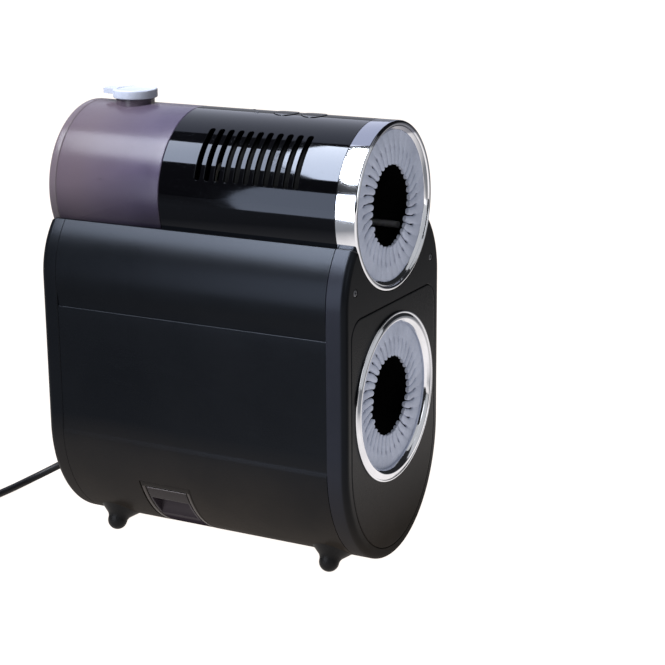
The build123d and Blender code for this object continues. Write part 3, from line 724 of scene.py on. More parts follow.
def makeLowerShell():
    wall, recess, top = body["wall"], body["recess"], body["splitZ"]
    reaches = [share * tray["frame"] for share, _ in tray["bead"]]
    reaches.append(reaches[-1] + tray["slope"])
    ys = [body["frontY"], -60, -20] + [tray["y0"] - reach for reach in reversed(reaches)]
    ys += [tray["y1"] + reach for reach in reaches] + [80, body["backY"]]
    # rows round the belly, with one on each line of the tray's frame
    step = math.pi / 120
    marks = [math.asin(tray["frameX"] / body["half"]), bellyTurn(tray["z0"])]
    marks += [bellyTurn(tray["z1"] + reach) for reach in reaches]
    turns = [step * k for k in range(61)]
    turns = sorted([turn for turn in turns if min(abs(turn - mark) for mark in marks) > step / 3] + marks)
    rises = [(body["bellyZ"] + (top - 1 - body["bellyZ"]) * k / 10, recess) for k in range(1, 11)]
    rises += [(top - 0.22, recess + 0.05), (top - 0.06, recess + 0.19), (top, recess + 0.38)]
    lowEdge, highEdge = bellyTurn(tray["z0"]), bellyTurn(tray["z1"])

    def innerSkin(side, turn):
        for z in (tray["z0"], tray["z1"]):
            if abs(turn - bellyTurn(z)) < 1e-9:
                turn = bellyTurn(z, wall)
        return bellySkin(side, turn, wall)

    path = [(-1, None, z) for z in reversed(rises)] + [(-1, turn, None) for turn in reversed(turns[1:])]
    path += [(1, turn, None) for turn in turns] + [(1, None, z) for z in rises]
    outer, inner = [], []
    for side, turn, flat in path:
        outRow, inRow = [], []
        for y in ys:
            if flat:
                z, inset = flat
                outRow.append((side * (body["half"] - inset), y, z))
                inRow.append((side * (body["half"] - wall), y, z))
                continue
            x, z = bellySkin(side, turn, frameDepth(turn, y) if side < 0 else 0.0)
            outRow.append((x - side * recess * smooth((z - body["ledgeZ"]) / body["ledgeRise"]), y, z))
            x, z = innerSkin(side, turn)
            inRow.append((x, y, z))
        outer.append(outRow)
        inner.append(inRow)
    open0, open1 = ys.index(tray["y0"]), ys.index(tray["y1"])

    def isHole(i, j):
        side, turn, _ = path[i]
        follow = path[i + 1][1]
        if side > 0 or turn is None or follow is None:
            return False
        return open0 <= j < open1 and lowEdge - 1e-9 <= follow and turn <= highEdge + 1e-9

    shell = thickSheet("lower_shell_skin", outer, inner, isHole)
    soften(shell, body["seam"])
    dress(shell, "housing", "body_plastic", "lower_shell")
    # the two beads beside the tray get a paler finish, a painted highlight along them
    shell.data.materials.append(finishes["bead_plastic"])
    for face in shell.data.polygons:
        x, y, z = face.center / mm
        if 0.2 < traySide(y) < 0.7 and x < -tray["frameX"] and z < tray["z1"]:
            face.material_index = 1


def makeUpperShell():
    wall, step = body["wall"], body["troughStepY"]
    front, back = body["frontTroughR"], body["tankTroughR"]
    stations = [(y, front) for y in (body["frontY"], -60, -10, step)]
    stations += [(y, back) for y in (step + 0.1, 80, body["backY"])]
    reach = body["leanTopZ"] - body["splitZ"]

    def across(inset, troughR):
        # the outside leans in towards the parting line, which lets the lower shell's rim stand out
        right = bodyHalf(inset, troughR)[steps["belly"] + steps["side"]:]
        right = [(right[0][0], z) for z in (body["splitZ"], 184.0, 188.0, 192.0, 196.0)] + right
        if inset == 0:
            right = [(x - body["lean"] * smooth((body["leanTopZ"] - z) / reach), z) for x, z in right]
        return right + [(-x, z) for x, z in reversed(right[:-1])]

    outer = [[(x, y, z) for x, z in across(0, troughR)] for y, troughR in stations]
    inner = [[(x, y, z) for x, z in across(wall, troughR + wall)] for y, troughR in stations]
    shell = thickSheet("upper_shell_skin", outer, inner)
    soften(shell, body["seam"])
    dress(shell, "housing", "body_plastic", "upper_shell")


def makeBezel():
    front, back, plate, wall = body["faceY"], body["frontY"], body["plate"], body["wall"]
    trough, radius = body["frontTroughR"], body["bezelRound"]
    loops = [bodyLoop(body["edge"], trough, back), bodyLoop(0, trough, back - body["edge"])]
    loops.append(bodyLoop(0, trough, (front + back) / 2))
    loops += [bodyLoop(radius * (1 - c), trough, front + radius - radius * s) for c, s in arc(8)]
    loops.append(bodyLoop(radius + 0.5, trough, front))
    gap, lap, ledge = panel["gap"], panel["lap"], front + plate
    for grow, y in ((gap + 0.3, front), (gap, front + 0.3), (gap, ledge), (-lap, ledge), (-lap, ledge + 2.5),
                    (lap, ledge + 2.5), (lap, ledge + 0.1)):
        loops.append(panelLoop(grow, y))
    loops += [bodyLoop(wall, trough + wall, y) for y in (ledge + 0.1, back)]
    bezel = makeMesh("front_bezel_frame", *stackLoops(loops, ring=True))
    deep = front + body["faceSink"]
    for x, z in body["screws"][4:]:
        carve(bezel, pillar("screw_sink", body["faceSinkR"], front - 2, deep, portPlace(z, x)))
    # the bezel's lighter copy of the body plastic is a painted sheen
    dress(bezel, "housing", "bezel_plastic", "front_bezel", slot="body_plastic")


def makePanel():
    front, back = body["faceY"], body["faceY"] + body["plate"]
    edge = ((0, back), (0, front + 0.5), (-0.15, front + 0.15), (-0.5, front), (-1.2, front))
    loops = [panelLoop(grow, y) for grow, y in edge] + [portLoop(panel["holeR"], y) for y in (front, back)]
    plate = makeMesh("front_panel_plate", *stackLoops(loops, ring=True))
    dress(plate, "housing", "body_plastic", "front_panel")


grille = {"reach": 41.0, "pitch": 7.0, "slot": 3.0, "rows": 11, "bar": 3.0}


def grilleTree():
    # slots as long as the round outline lets each be, each side of a middle bar
    t = Tree("grille_slots", Rows="Int", Pitch="Float", Slot="Float", Reach="Float", Bar="Float",
             Middle="Vector")
    rows, reach, bar = (t.given(k) for k in ("Rows", "Reach", "Bar"))
    drop = (t.add("GeometryNodeInputIndex") - (rows - 1) / 2) * t.given("Pitch")
    long = (reach * reach - drop * drop) ** 0.5 - bar / 2
    size = t.combine(long, 0.012, t.given("Slot"))
    cutters = []
    for side in (-1, 1):
        place = t.vector("ADD", t.combine((long + bar) * (side * 0.5), 0, drop), t.given("Middle"))
        points = t.add("GeometryNodeSetPosition", {}, {0: t.line(rows), "Position": place})
        cutters.append(t.repeat(points, t.add("GeometryNodeMeshCube", {}, {"Size": (1, 1, 1)}), Scale=size))
    return t.close(t.cut(t.add("GeometryNodeJoinGeometry", {}, {0: cutters})))


def makeRearCover():
    start, end, radius, wall = body["backY"], body["rearY"], body["coverRound"], body["wall"]
    trough = body["tankTroughR"]
    loops = [bodyLoop(body["edge"], trough, start), bodyLoop(0, trough, start + body["edge"])]
    loops += [bodyLoop(radius * (1 - c), trough, end - radius + radius * s) for c, s in arc(12)]
    loops.append(bodyLoop(radius + 0.6, trough, end))
    bend = radius - wall
    inside = [bodyLoop(wall, trough + wall, start)]
    inside += [bodyLoop(wall + bend * (1 - c), trough + wall, end - radius + bend * s) for c, s in arc(6)]
    verts, faces = stackLoops(loops)
    moreVerts, moreFaces = stackLoops(inside)
    outside, count = len(verts), len(loops[0])
    verts += moreVerts
    faces += [tuple(outside + v for v in face) for face in moreFaces]
    faces.append(tuple(range(outside - count, outside)))
    faces.append(tuple(range(len(verts) - count, len(verts))))
    faces += [(k, (k + 1) % count, outside + (k + 1) % count, outside + k) for k in range(count)]
    cover = makeMesh("rear_cover_shell", verts, faces)
    grilleTree().grow(
        cover, "body_plastic", Rows=grille["rows"], Pitch=grille["pitch"] * mm, Slot=grille["slot"] * mm,
        Reach=grille["reach"] * mm, Bar=grille["bar"] * mm, Middle=(0, end * mm, panel["portZ"] * mm))
    for x, z in body["screws"]:
        carve(cover, pillar("screw_sink", body["rearSinkR"], end - wall - 0.5, end + 1, portPlace(z, x)))
    dress(cover, "housing", "body_plastic", "rear_cover")


makeLowerShell()
makeUpperShell()
makeBezel()
makePanel()
makeRearCover()
print("body made")


# the barrel has a vented sleeve, a chrome ring and a fringed port
barrel = {
    "z": 261.5, "radius": 59.0, "wall": 2.5, "sleeveY0": -108.25, "sleeveY1": 30.95,
    "vents": 11, "firstVentY": 0.95, "ventPitch": 7.77, "ventWide": 4.15, "ventLow": 19.3, "ventHigh": 55.7,
    # how far from the skin each outline of a vent lies, and how much wider it is there
    "ventFlare": ((-6, 0), (-0.9, 0), (-0.4, 0.03), (-0.15, 0.1), (-0.02, 0.24), (0.02, 0.3), (3, 0.6)),
    "buttonR": 9.0, "buttonGap": 0.35, "buttonYs": [-61.85, -39.85], "buttonProud": 0.5,
    "lampR": 1.6, "lampGap": 0.1, "lampProud": 0.3, "lamps": [(4.4, -10.55), (-6.0, -19.15)],
    "holeLow": 40.0, "holeHigh": 70.0,
}
# each ring's section, as corners of a radius, a station and how far that corner is rounded
rings = {
    "upper": [
        (59.0, -108.35, 0.3), (59.0, -124.4, 1.9), (57.0, -124.4, 0.8), (55.9, -124.0, 0.5),
        (55.5, -122.9, 0.2), (54.9, -123.1, 0.4), (52.5, -121.4, 0.3), (52.5, -120.8, 0.2),
        (55.9, -120.8, 0), (55.9, -108.35, 0),
    ],
    "lower": [
        (61.2, -123.85, 0.1), (61.2, -125.2, 0.65), (59.9, -125.2, 0.6), (59.6, -124.7, 0.3),
        (57.4, -126.0, 2.4), (55.4, -126.0, 1.6), (53.2, -124.0, 1.6), (52.5, -122.4, 0.6),
        (52.5, -120.6, 0.2), (54.1, -120.6, 0), (54.1, -113.2, 0), (56.8, -113.2, 0), (56.8, -123.85, 0),
    ],
}


def makeVentTool():
    # a bent slot with round ends, wide enough to pass right through the sleeve's wall and flared at its skin
    radius, half = barrel["radius"], barrel["ventWide"] / 2
    low, high = math.radians(barrel["ventLow"]), math.radians(barrel["ventHigh"])
    along, ends, loops = 20, 12, []
    for rise, grow in barrel["ventFlare"]:
        wide, rim = half + grow, []
        for here, there, side in ((low, high, 1), (high, low, -1)):
            rim += [(here + wide / radius * c, wide * s) for c, s in arc(ends, math.pi, side * math.pi / 2)]
            rim += [(here + (there - here) * k / along, -side * wide) for k in range(1, along)]
        r = radius + rise
        loops.append([(-r * math.cos(turn), y, barrel["z"] + r * math.sin(turn)) for turn, y in rim])
    verts, faces = stackLoops(loops)
    count, tip = len(loops[0]), ends // 2
    # the two ends are closed with strips across the slot, so they stay bent with the barrel
    for start in (0, len(verts) - count):
        for k in range(along + ends):
            corners = dict.fromkeys(start + (tip + step) % count for step in (k, k + 1, -k - 1, -k))
            if len(corners) > 2:
                faces.append(tuple(corners))
    return makeMesh("vent_tool", verts, faces)


def ventTree():
    # one slot repeated along the sleeve and cut out of it
    t = Tree("sleeve_vents", Count="Int", Pitch="Vector", Start="Vector", Slot="Object")
    points = t.line(t.given("Count"), t.given("Pitch"), t.given("Start"))
    return t.close(t.cut(t.repeat(points, t.model("Slot"))))


def makeSleeve():
    z, radius, inner = barrel["z"], barrel["radius"], barrel["radius"] - barrel["wall"]
    y0, y1 = barrel["sleeveY0"], barrel["sleeveY1"]
    corners = [(inner, y0, 0), (radius, y0, 0.3), (radius, y1, 0.3), (inner, y1, 0)]
    sleeve = turned("barrel_sleeve_skin", corners, portPlace(z), 360, 30)
    ventTree().grow(
        sleeve, "gloss_black", Count=barrel["vents"], Pitch=(0, -barrel["ventPitch"] * mm, 0),
        Slot=makeVentTool(), Start=(0, barrel["firstVentY"] * mm, 0))
    holes = [(0, y, barrel["buttonR"] + barrel["buttonGap"]) for y in barrel["buttonYs"]]
    holes += [(x, y, barrel["lampR"] + barrel["lampGap"]) for x, y in barrel["lamps"]]
    for x, y, r in holes:
        low, high = z + barrel["holeLow"], z + barrel["holeHigh"]
        carve(sleeve, pillar("hole_tool", r, low, high, postPlace(x, y), 72))
    evenOut(sleeve)
    dress(sleeve, "housing", "gloss_black", "barrel_sleeve", crease=30)


def makeRings():
    for label, z, step in (("upper", barrel["z"], 10), ("lower", panel["portZ"], 8)):
        ring = turned(label + "_ring_trim", rings[label], portPlace(z), 240, step)
        dress(ring, "housing", "chrome_trim", label + "_ring")


fringe = {
    "fingers": 36, "rows": 26, "columns": 10, "holeR": 28.5, "slitR": 43.0, "slit": 0.6, "thick": 2.0,
    "rootR": 37.0, "rootSlit": 0.5, "bow": 0.45, "edge": 0.5, "tip": 1.6, "swirl": -8.0,
    "sway": 0.45, "dip": 0.8, "seed": 7,
    "ports": [("upper", 55.8, -120.7, barrel["z"]), ("lower", 54.0, -120.5, panel["portZ"])],
}


def makeFinger(outerR):
    # one finger along +X with its ridge towards the port's mouth; neighbours meet beyond the slits
    half, holeR = math.pi / fringe["fingers"], fringe["holeR"]
    front, back = [], []
    for i in range(fringe["rows"] + 1):
        share = i / fringe["rows"]
        frontRow, backRow = [], []
        for j in range(fringe["columns"] + 1):
            across = 2 * j / fringe["columns"] - 1
            tip = fringe["tip"] * across**4 * (1 - share) ** 2
            radius = holeR + tip + (outerR - holeR - tip) * share**1.15
            root = smooth((radius - fringe["rootR"]) / 3) * fringe["rootSlit"]
            slit = (fringe["slit"] / 2 + root) * smooth((fringe["slitR"] - radius) / 1.5)
            drift = math.radians(fringe["swirl"]) * smooth((outerR - radius) / (outerR - holeR))
            angle = across * (half - slit / radius) + drift
            ridge = fringe["bow"] * (1 - across**2) * min(1, (outerR - radius) / 3)
            edge = fringe["edge"] * across**6 * smooth((fringe["slitR"] + 2 - radius) / 4)
            x, z = radius * math.cos(angle), radius * math.sin(angle)
            frontRow.append((x, edge - ridge, z))
            backRow.append((x, fringe["thick"] - edge, z))
        front.append(frontRow)
        back.append(backRow)
    return thickSheet("finger", front, back)


def fringeTree():
    # a ring of fingers, welded where they meet
    t = Tree("fringe_ring", Fingers="Int", Middle="Vector", Finger="Object")
    middle = t.given("Middle")
    spots = t.add("GeometryNodeSetPosition", {}, {0: t.line(t.given("Fingers")), "Position": middle})
    spin = t.combine(y=t.add("GeometryNodeInputIndex") * (math.tau / fringe["fingers"]))
    ring = t.repeat(spots, t.model("Finger"), Rotation=spin)
    # each finger is pushed a little round and a little inwards, more so at the two sides
    plain = {"data_type": "FLOAT"}
    for name, seed in (("sway", fringe["seed"]), ("dip", fringe["seed"] + 1)):
        chance = t.add("FunctionNodeRandomValue", plain, {2: -1.0, 3: 1.0, "Seed": seed}, out=1)
        sockets = {0: ring, "Name": name, "Value": chance}
        ring = t.add("GeometryNodeStoreNamedAttribute", {**plain, "domain": "INSTANCE"}, sockets)
    ring = t.add("GeometryNodeRealizeInstances", {}, {0: ring})
    arm = t.vector("SUBTRACT", t.add("GeometryNodeInputPosition"), middle)
    reach = t.vector("LENGTH", arm, out=1)
    x, z = (t.split(arm, axis) / reach for axis in "XZ")
    settings = {"clamp": True, "interpolation_type": "SMOOTHSTEP"}
    sockets = {"Value": reach, "From Min": fringe["slitR"] * mm, "From Max": fringe["holeR"] * mm}
    free = t.add("ShaderNodeMapRange", settings, sockets)
    free = free * (t.add("ShaderNodeMath", {"operation": "ABSOLUTE"}, {0: x}) * 0.8 + 0.2)
    sway, dip = (t.add("GeometryNodeInputNamedAttribute", plain, {"Name": name}) for name in ("sway", "dip"))
    sway = sway * free * (fringe["sway"] * mm)
    push = t.combine(z * sway * -1.0, dip * free * (fringe["dip"] * mm), x * sway)
    ring = t.add("GeometryNodeSetPosition", {}, {0: ring, "Offset": push})
    return t.close(t.add("GeometryNodeMergeByDistance", {}, {0: ring, "Distance": 0.00002}))


def makeFringes():
    tree = fringeTree()
    for label, outerR, y, z in fringe["ports"]:
        ring = makeMesh(label + "_fringe_ring", [], [])
        tree.grow(ring, "fringe_rubber", Fingers=fringe["fingers"], Middle=(0, y * mm, z * mm),
                  Finger=makeFinger(outerR))
        mend(ring)
        dress(ring, "housing", "fringe_rubber", label + "_fringe", crease=50)


def crownedDisc(name, x, y, radius, crown, depth, rounding, rows=14, around=72):
    # a round cap whose top follows a cylinder of radius crown about the barrel's axis
    flat = radius - rounding
    section = [(flat * (k / rows), 0.0) for k in range(rows + 1)]
    section += [(flat + rounding * s, rounding * (1 - c)) for c, s in arc(6)[1:]]
    section.append((radius, depth))
    loops = []
    for r, sink in section:
        rim = [(x + r * c, y + r * s) for c, s in arc(around, math.tau)[:-1]]
        loops.append([(px, py, barrel["z"] + math.sqrt(crown**2 - px**2) - sink) for px, py in rim])
    verts, faces = stackLoops(loops)
    faces.append(tuple(range(len(verts) - around, len(verts))))
    return makeMesh(name, verts, faces)


def makeControls():
    crown = barrel["radius"] + barrel["buttonProud"]
    for label, y in zip(("front", "rear"), barrel["buttonYs"]):
        cap = crownedDisc("button_cap_" + label, 0, y, barrel["buttonR"], crown, 5.4, 0.5)
        dress(cap, label + "_button", "button_plastic", "button_" + label)
    crown = barrel["radius"] + barrel["lampProud"]
    lamps = join("lamp_lenses", [
        crownedDisc("lamp", x, y, barrel["lampR"], crown, 4.0, 0.6, 4, 32) for x, y in barrel["lamps"]])
    dress(lamps, "housing", "lamp_lens", "indicator_lamps")


makeSleeve()
makeRings()
makeFringes()
makeControls()
print("barrel and its controls made")


# the water tank slides on behind the barrel, and its filler has a stopper
tank = {
    "radius": 59.0, "wall": 2.5, "y0": 31.25, "seamY": 118.7, "y1": 126.0,
    "capRound": 3.0, "capGap": 0.05, "spigot": 5.0,
    "fillY": 86.75, "neckR": 14.0, "boreR": 11.2, "neckLow": 54.0, "neckTopZ": 323.9, "coreY": 112.0,
    "discR": 16.25, "discTopZ": 330.5, "tabHalf": 6.5, "tabY": 107.05, "tabFrom": 12.0,
    "tabLowZ": 326.2, "tabTopZ": 330.0,
    "gateY": 81.0, "gateTurn": 12.9, "gateR": 1.3,
}


def makeTank():
    z, radius, wall, seam = barrel["z"], tank["radius"], tank["wall"], tank["seamY"]
    inner, start, top = radius - wall, tank["y0"], tank["neckTopZ"]
    shell = turned("tank_body", [
        (0, start, 0), (radius, start, 1.0), (radius, seam, 0.7), (inner, seam, 0.2),
        (inner, start + wall, 1.5), (0, start + wall, 0)], portPlace(z), 200)
    low, neckR, fill = z + tank["neckLow"], tank["neckR"], postPlace(0, tank["fillY"])
    neck = turned("neck", [(0, low, 0), (neckR, low, 0), (neckR, top, 0.6), (0, top, 0)], fill, 96)
    carve(neck, pillar("core", inner, start + wall, tank["coreY"], portPlace(z), 200))
    carve(shell, neck, "UNION")
    carve(shell, pillar("bore", tank["boreR"], z + 40, top + 1, fill, 96))
    # a small gate mark from the moulding stands on the side
    low, high, gateR = radius - 1, radius + 0.5, tank["gateR"]
    corners = [(0, low, 0), (gateR, low, 0), (gateR, high, 0.4), (0, high, 0)]
    gate = turned("gate", corners, postPlace(0, tank["gateY"]), 24)
    shift(gate, z=z, turn=Matrix.Rotation(math.radians(tank["gateTurn"] - 90), 4, "Y"))
    carve(shell, gate, "UNION")
    dress(shell, "tank", "smoky_plastic", "tank_shell")
    end, gap = tank["y1"], tank["capGap"]
    rim, deep, spigot = inner - gap, inner - wall, seam - tank["spigot"]
    cap = turned("tank_end_cap", [
        (0, end, 0), (radius, end, tank["capRound"]), (radius, seam + gap, 0.7), (rim, seam + gap, 0),
        (rim, spigot, 0.5), (deep, spigot, 0.5), (deep, end - wall, 4.0), (0, end - wall, 0)],
        portPlace(z), 200, 8)
    dress(cap, "tank", "smoky_plastic", "tank_cap")


def makeStopper():
    y, low, top = tank["fillY"], tank["neckTopZ"] + 0.1, tank["discTopZ"]
    discR, stem, base = tank["discR"], tank["boreR"] - 0.3, barrel["z"] + tank["neckLow"]
    stopper = turned("stopper_plug", [
        (0, top - 0.6, 0), (12.5, top - 0.6, 0.6), (13.2, top, 0.4), (discR, top, 1.2), (discR, low, 0.8),
        (stem, low, 0.4), (stem, base, 0.8), (stem - 2.5, base, 0.5), (stem - 2.5, low + 2, 1.0),
        (0, low + 2, 0)], postPlace(0, y), 120, 15)
    half, end = tank["tabHalf"], tank["tabY"]
    rim = [(half * c, end + half * s) for c, s in arc(18, math.pi)]
    rim = [(half, y + tank["tabFrom"])] + rim + [(-half, y + tank["tabFrom"])]
    loops = [[(x, py, z) for x, py in rim] for z in (tank["tabLowZ"], tank["tabTopZ"])]
    carve(stopper, makeMesh("tab", *stackLoops(loops, ends=True)), "UNION")
    soften(stopper, 0.5, 3, 50)
    dress(stopper, "stopper", "silicone", "tank_plug", crease=40)


makeTank()
makeStopper()
print("tank made")


# feet, screws, the tray and the ends of the lead
foot = {
    "x": 42.5, "ys": [-90.85, 91.15], "tipZ": 0.76, "tilt": 32.0, "domeR": 7.3, "neckH": 10.0, "rootR": 15.5,
    "flare": 5.5, "long": 17.0,
}


def makeFeet():
    # each foot is a domed plug with a flared root that leans outwards, flattened where it stands
    domeR, long = foot["domeR"], foot["long"]
    corners = [(domeR * s, domeR - domeR * c, 0) for c, s in arc(14)]
    corners += [(domeR, foot["neckH"], foot["flare"]), (foot["rootR"], long, 0), (0, long, 0)]
    for hand, side in (("left", -1), ("right", 1)):
        for end, y in zip(("front", "rear"), foot["ys"]):
            piece = turned("foot_pad_%s_%s" % (end, hand), corners, postPlace(0, 0), 72, 5)
            lean = Matrix.Rotation(math.radians(-side * foot["tilt"]), 4, "Y")
            shift(piece, side * foot["x"], y, foot["tipZ"], lean)
            for v in piece.data.vertices:
                v.co.z = max(v.co.z, 0.0)
            mend(piece)
            dress(piece, "housing", "foot_rubber", "foot_%s_%s" % (end, hand))


# a set's name and node, its heads' radius and height, where they are, and how they are turned
screwSets = [
    ("face_screw_heads", "face_screws", 2.6, 1.5, body["screws"][4:], body["faceY"] + 0.05, (0, 0.3, 0)),
    ("rear_screw_heads", "rear_screws", 3.0, 2.0, body["screws"], body["rearY"] - 1.5, (0, 0, math.pi)),
]


def makeScrewHead(radius, tall):
    # a pan head with a cross recess, its crown towards -Y
    corners = [(0, 0, 0), (radius, 0, radius * 0.35), (radius, tall, 0.1), (0, tall, 0)]
    head = turned("head", corners, portPlace(0), 40, 15)
    for x, z in ((0.4, 1.6), (1.6, 0.4)):
        rim = [(-x, -z), (x, -z), (x, z), (-x, z)]
        loops = [[(a * share, y, b * share) for a, b in rim] for share, y in ((1, -1), (0.7, 0.9))]
        carve(head, makeMesh("recess", *stackLoops(loops, ends=True)))
    return head


def screwTree():
    # a screw head at each point of the mesh
    t = Tree("screw_heads", Head="Object", Turn="Vector")
    return t.close(t.repeat(t.given("Mesh"), t.model("Head"), Rotation=t.given("Turn")))


def makeScrews():
    tree = screwTree()
    for name, node, radius, tall, places, y, turn in screwSets:
        piece = makeMesh(name, [(x, y, z) for x, z in places], [])
        tree.grow(piece, "screw_steel", Head=makeScrewHead(radius, tall), Turn=turn)
        dress(piece, "housing", "screw_steel", node, crease=40)


relief = {"rootR": 6.5, "tipR": 4.2, "ribs": 7, "first": 4.5, "pitch": 3.6}


def reliefTree():
    # ribs that shrink along the lead
    t = Tree("relief_ribs", Ribs="Int", Start="Vector", Pitch="Vector", Rib="Object", Taper="Float")
    shrink = 1 - t.add("GeometryNodeInputIndex") * t.given("Taper")
    points = t.line(t.given("Ribs"), t.given("Pitch"), t.given("Start"))
    ribs = t.repeat(points, t.model("Rib"), Scale=t.combine(shrink, 1.0, shrink))
    return t.close(t.add("GeometryNodeJoinGeometry", {}, {0: [t.given("Mesh"), ribs]}))


def makeRelief():
    x, end, z = lead["route"][0]
    y = body["rearY"]
    core = turned("strain_relief_core", [
        (0, y - 5.5, 0), (7.0, y - 5.5, 0.4), (7.0, y - 2.6, 0.2), (5.0, y - 2.6, 0), (5.0, y, 0),
        (8.0, y, 0.5), (8.0, y + 1.5, 0.6), (5.6, y + 1.5, 0.8), (3.7, end, 0.4), (0, end, 0)],
        portPlace(z, x), 48)
    edge = relief["rootR"] - 0.35
    corners = [(3.4, -1, 0), (edge, -1, 0.35), (edge, 1, 0.35), (3.4, 1, 0)]
    reliefTree().grow(
        core, "lead_sheath", Ribs=relief["ribs"], Start=(x * mm, (y + relief["first"]) * mm, z * mm),
        Pitch=(0, relief["pitch"] * mm, 0), Rib=turned("rib", corners, portPlace(0), 48, 30),
        Taper=(relief["rootR"] - relief["tipR"]) / relief["rootR"] / relief["ribs"])
    dress(core, "housing", "lead_sheath", "strain_relief", crease=40)


plug = {
    "heading": 30.0, "long": 36.0, "pinR": 2.0, "pinLong": 19.0, "pinX": 5.5,
    # a station, half the width, half the height and how square the section is there
    "grip": [
        (0, 3.9, 3.9, 2), (0.4, 4.3, 4.3, 2), (3, 4.7, 4.7, 2), (3.4, 4.2, 4.2, 2), (4.6, 4.2, 4.2, 2),
        (5, 5.2, 5.2, 2), (7, 5.7, 5.7, 2), (7.4, 5.2, 5.2, 2), (8.6, 5.2, 5.2, 2), (9, 6.2, 6.2, 2.1),
        (12, 7.2, 7.0, 2.4), (15, 7.8, 7.4, 3), (19, 8, 7.5, 4), (33, 8, 7.5, 4.5), (35.2, 7.6, 7.1, 4.5),
        (35.9, 6.6, 6.1, 4), (36, 5.0, 4.6, 3.5),
    ],
}


def superLoop(y, halfX, halfZ, power):
    def reach(half, share):
        return half * math.copysign(abs(share) ** (2 / power), share)

    return [(reach(halfX, c), y, reach(halfZ, s)) for c, s in arc(56, math.tau)[:-1]]


def makePlug():
    # the moulded grip swells from the lead into a rounded block
    end = coilPoints()[-1]
    turn = Matrix.Rotation(math.radians(plug["heading"] - 90), 4, "Z")
    loops = [superLoop(*station) for station in plug["grip"]]
    block = shift(makeMesh("plug_grip", *stackLoops(loops, ends=True)), *end, turn)
    dress(block, "housing", "lead_sheath", "plug_body", crease=50)
    r, y0, y1 = plug["pinR"], plug["long"] - 0.5, plug["long"] + plug["pinLong"]
    corners = [(0, y0, 0), (r, y0, 0), (r, y1, 1.4), (0, y1, 0)]
    pins = [turned("pin", corners, portPlace(0, side * plug["pinX"]), 32, 15) for side in (-1, 1)]
    pair = shift(join("plug_pin_pair", pins), *end, turn)
    dress(pair, "housing", "plug_brass", "plug_pins")


def makeTray():
    # the tray keeps its built shape, with its edges softened
    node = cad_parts["hair_tray"]
    mesh = node.data.copy()
    mesh.transform(node.matrix_world)
    piece = link("hair_tray_drawer", mesh)
    mend(piece, 0.00001)
    shade(piece, 25)
    soften(piece, 0.8, 4, 50)
    settle(piece)
    dress(piece, "tray", "tray_plastic", "hair_tray", slot="smoky_plastic", crease=None)


makeTray()
makeFeet()
makeScrews()
makeRelief()
makePlug()
print("feet, screws and lead ends made")


# finishes for the parts that keep their own shape
kept = {
    "inner_plastic": [
        "upper_clamp_ring", "lower_clamp_ring", "steam_chamber", "suction_chamber", "hair_chute",
        "filter_frame", "barrel_bulkhead", "tank_socket", "water_pump", "tray_rails", "motor_bracket",
    ],
    "fan_plastic": ["fan_impeller", "fan_duct"],
    "silicone": ["outlet_seal"],
    "smoky_plastic": ["tank_outlet"],
    "hose_silicone": ["inlet_hose", "outlet_hose"],
    "screw_steel": ["motor_screws", "fan_shaft", "filter_mesh"],
    "pipe_steel": ["steam_pipe"],
    "boiler_aluminium": ["steam_boiler"],
    "motor_steel": ["fan_motor"],
    "circuit_board": ["control_board", "power_board"],
    "component_black": ["tact_switches", "transformer", "capacitors"],
}
for finish, names in kept.items():
    for name in names:
        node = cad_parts[name]
        node.data.materials.clear()
        node.data.materials.append(finishes[finish])
print("inner finishes set")


studio = {
    "floor": 7.0, "world": (0.9, 0.94, 1.0, 1), "worldLight": 0.025,
    "glow": (1.12, 1.05, 1.0, 1), "dim": (0.2, 0.2, 0.205, 1), "fadeWide": 0.3, "halfView": 11.0,
    # a light's place, what it aims at, its size, power, colour and spin
    "lights": {
        "top_box": ((-0.85, 0.527, 1.46), (-0.85, 0.527, 0), (1.55, 0.386), 82, (0.92, 0.95, 1.0), -15),
        "rear_box": ((-0.765, 0.984, 1.46), (-0.765, 0.984, 0), (0.97, 0.53), 31, (0.88, 0.92, 1.0), -15),
        "ceiling_box": ((1.44, 1.25, 1.46), (1.44, 1.25, 0), (2.8, 1.9), 29, (0.8, 0.84, 1.0), 0),
        "lip_card": ((-0.2, -1.1, 1.46), (-0.2, -1.1, 0), (1.2, 1.8), 4, (1, 1, 1), 0),
        "wall_card": ((2.7, 1.3, 0.85), (0, 1.3, 0.85), (2.2, 1.2), 3.6, (0.85, 0.88, 1.0), 0),
        "side_card": ((-1.2, 0.4, 0.36), (0, 0.4, 0.36), (0.5, 0.7), 8.2, (0.85, 0.9, 1.0), 0),
        "front_box": ((-1.0, -1.5, 1.0), (0, -0.12, 0.2), (0.9, 0.9), 5.4, (1, 1, 1), 0),
        "ring_card": ((0.35, -1.5, 0.66), (0.35, 0, 0.66), (1.7, 1.1), 3.6, (1, 1, 1), 0),
    },
}


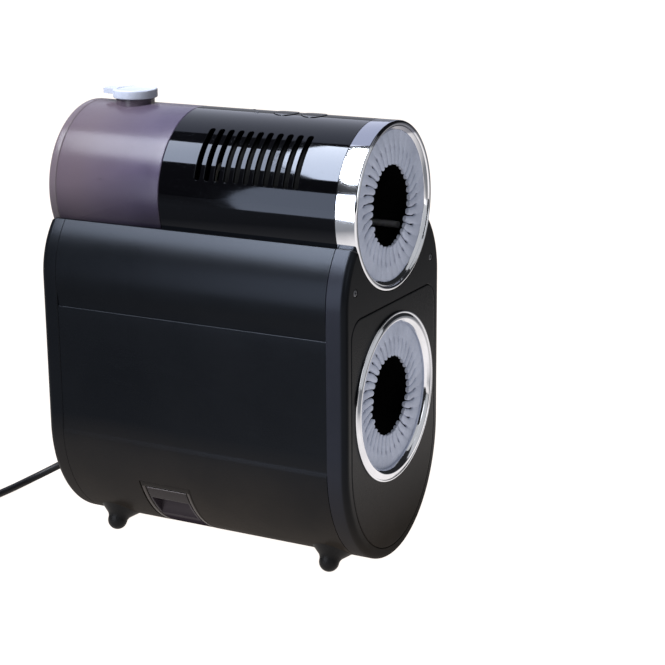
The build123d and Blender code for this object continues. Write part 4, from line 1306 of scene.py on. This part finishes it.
def softLight(name, place, aim, size, power, colour, spin):
    lamp = bpy.data.lights.new(name, "AREA")
    lamp.shape = "RECTANGLE"
    lamp.size, lamp.size_y = size
    lamp.energy = power
    lamp.color = colour
    look = (Vector(aim) - Vector(place)).to_track_quat("-Z", "Y")
    spun = look.to_matrix().to_4x4() @ Matrix.Rotation(math.radians(spin), 4, "Z")
    holder = link(name, lamp)
    holder.matrix_world = Matrix.Translation(place) @ spun
    holder.visible_camera = False


def floorFinish():
    # the floor glows where it lies behind and under the piece and fades to dim on either side of that
    f = Finish("floor_paint")
    tone = f.tint(f.noise(3.0, 3.0, 0.5), (0.04, 0.04, 0.04, 1), (0.03, 0.03, 0.03, 1))
    aim = math.atan2(-camera["right"][0], camera["right"][1]) + math.pi
    dim = 0
    for side, axis, near in ((1, "Y", -0.25), (-1, "X", -0.35)):
        edge = aim + side * math.radians(studio["halfView"])
        ahead = (f.along("Y") - camera["place"][1]) * (side * math.cos(edge))
        out = ahead - (f.along("X") - camera["place"][0]) * (side * math.sin(edge))
        dim = f.fade(out, 0.0, studio["fadeWide"]) * f.fade(f.along(axis), near, near + 0.35) + dim
    glow = f.tint(f.fade(dim, 0.0, 1.0), studio["glow"], studio["dim"])
    return f.close(f.shader(tone, 0.9, Specular_IOR_Level=0.0, Emission_Color=glow, Emission_Strength=1.0))


def makeStudio():
    reach = studio["floor"]
    mesh = bpy.data.meshes.new("studio_floor")
    corners = [(x * reach, y * reach, 0) for x, y in ((-1, -1), (1, -1), (1, 1), (-1, 1))]
    mesh.from_pydata(corners, [], [(0, 1, 2, 3)])
    mesh.materials.append(floorFinish())
    link("studio_floor", mesh)
    world = bpy.data.worlds.new("studio")
    bpy.context.scene.world = world
    world.use_nodes = True
    back = world.node_tree.nodes["Background"]
    back.inputs["Color"].default_value = studio["world"]
    back.inputs["Strength"].default_value = studio["worldLight"]
    for name, light in studio["lights"].items():
        softLight(name, *light)
    bpy.context.scene.view_settings.view_transform = "Standard"


makeStudio()
print("studio set")
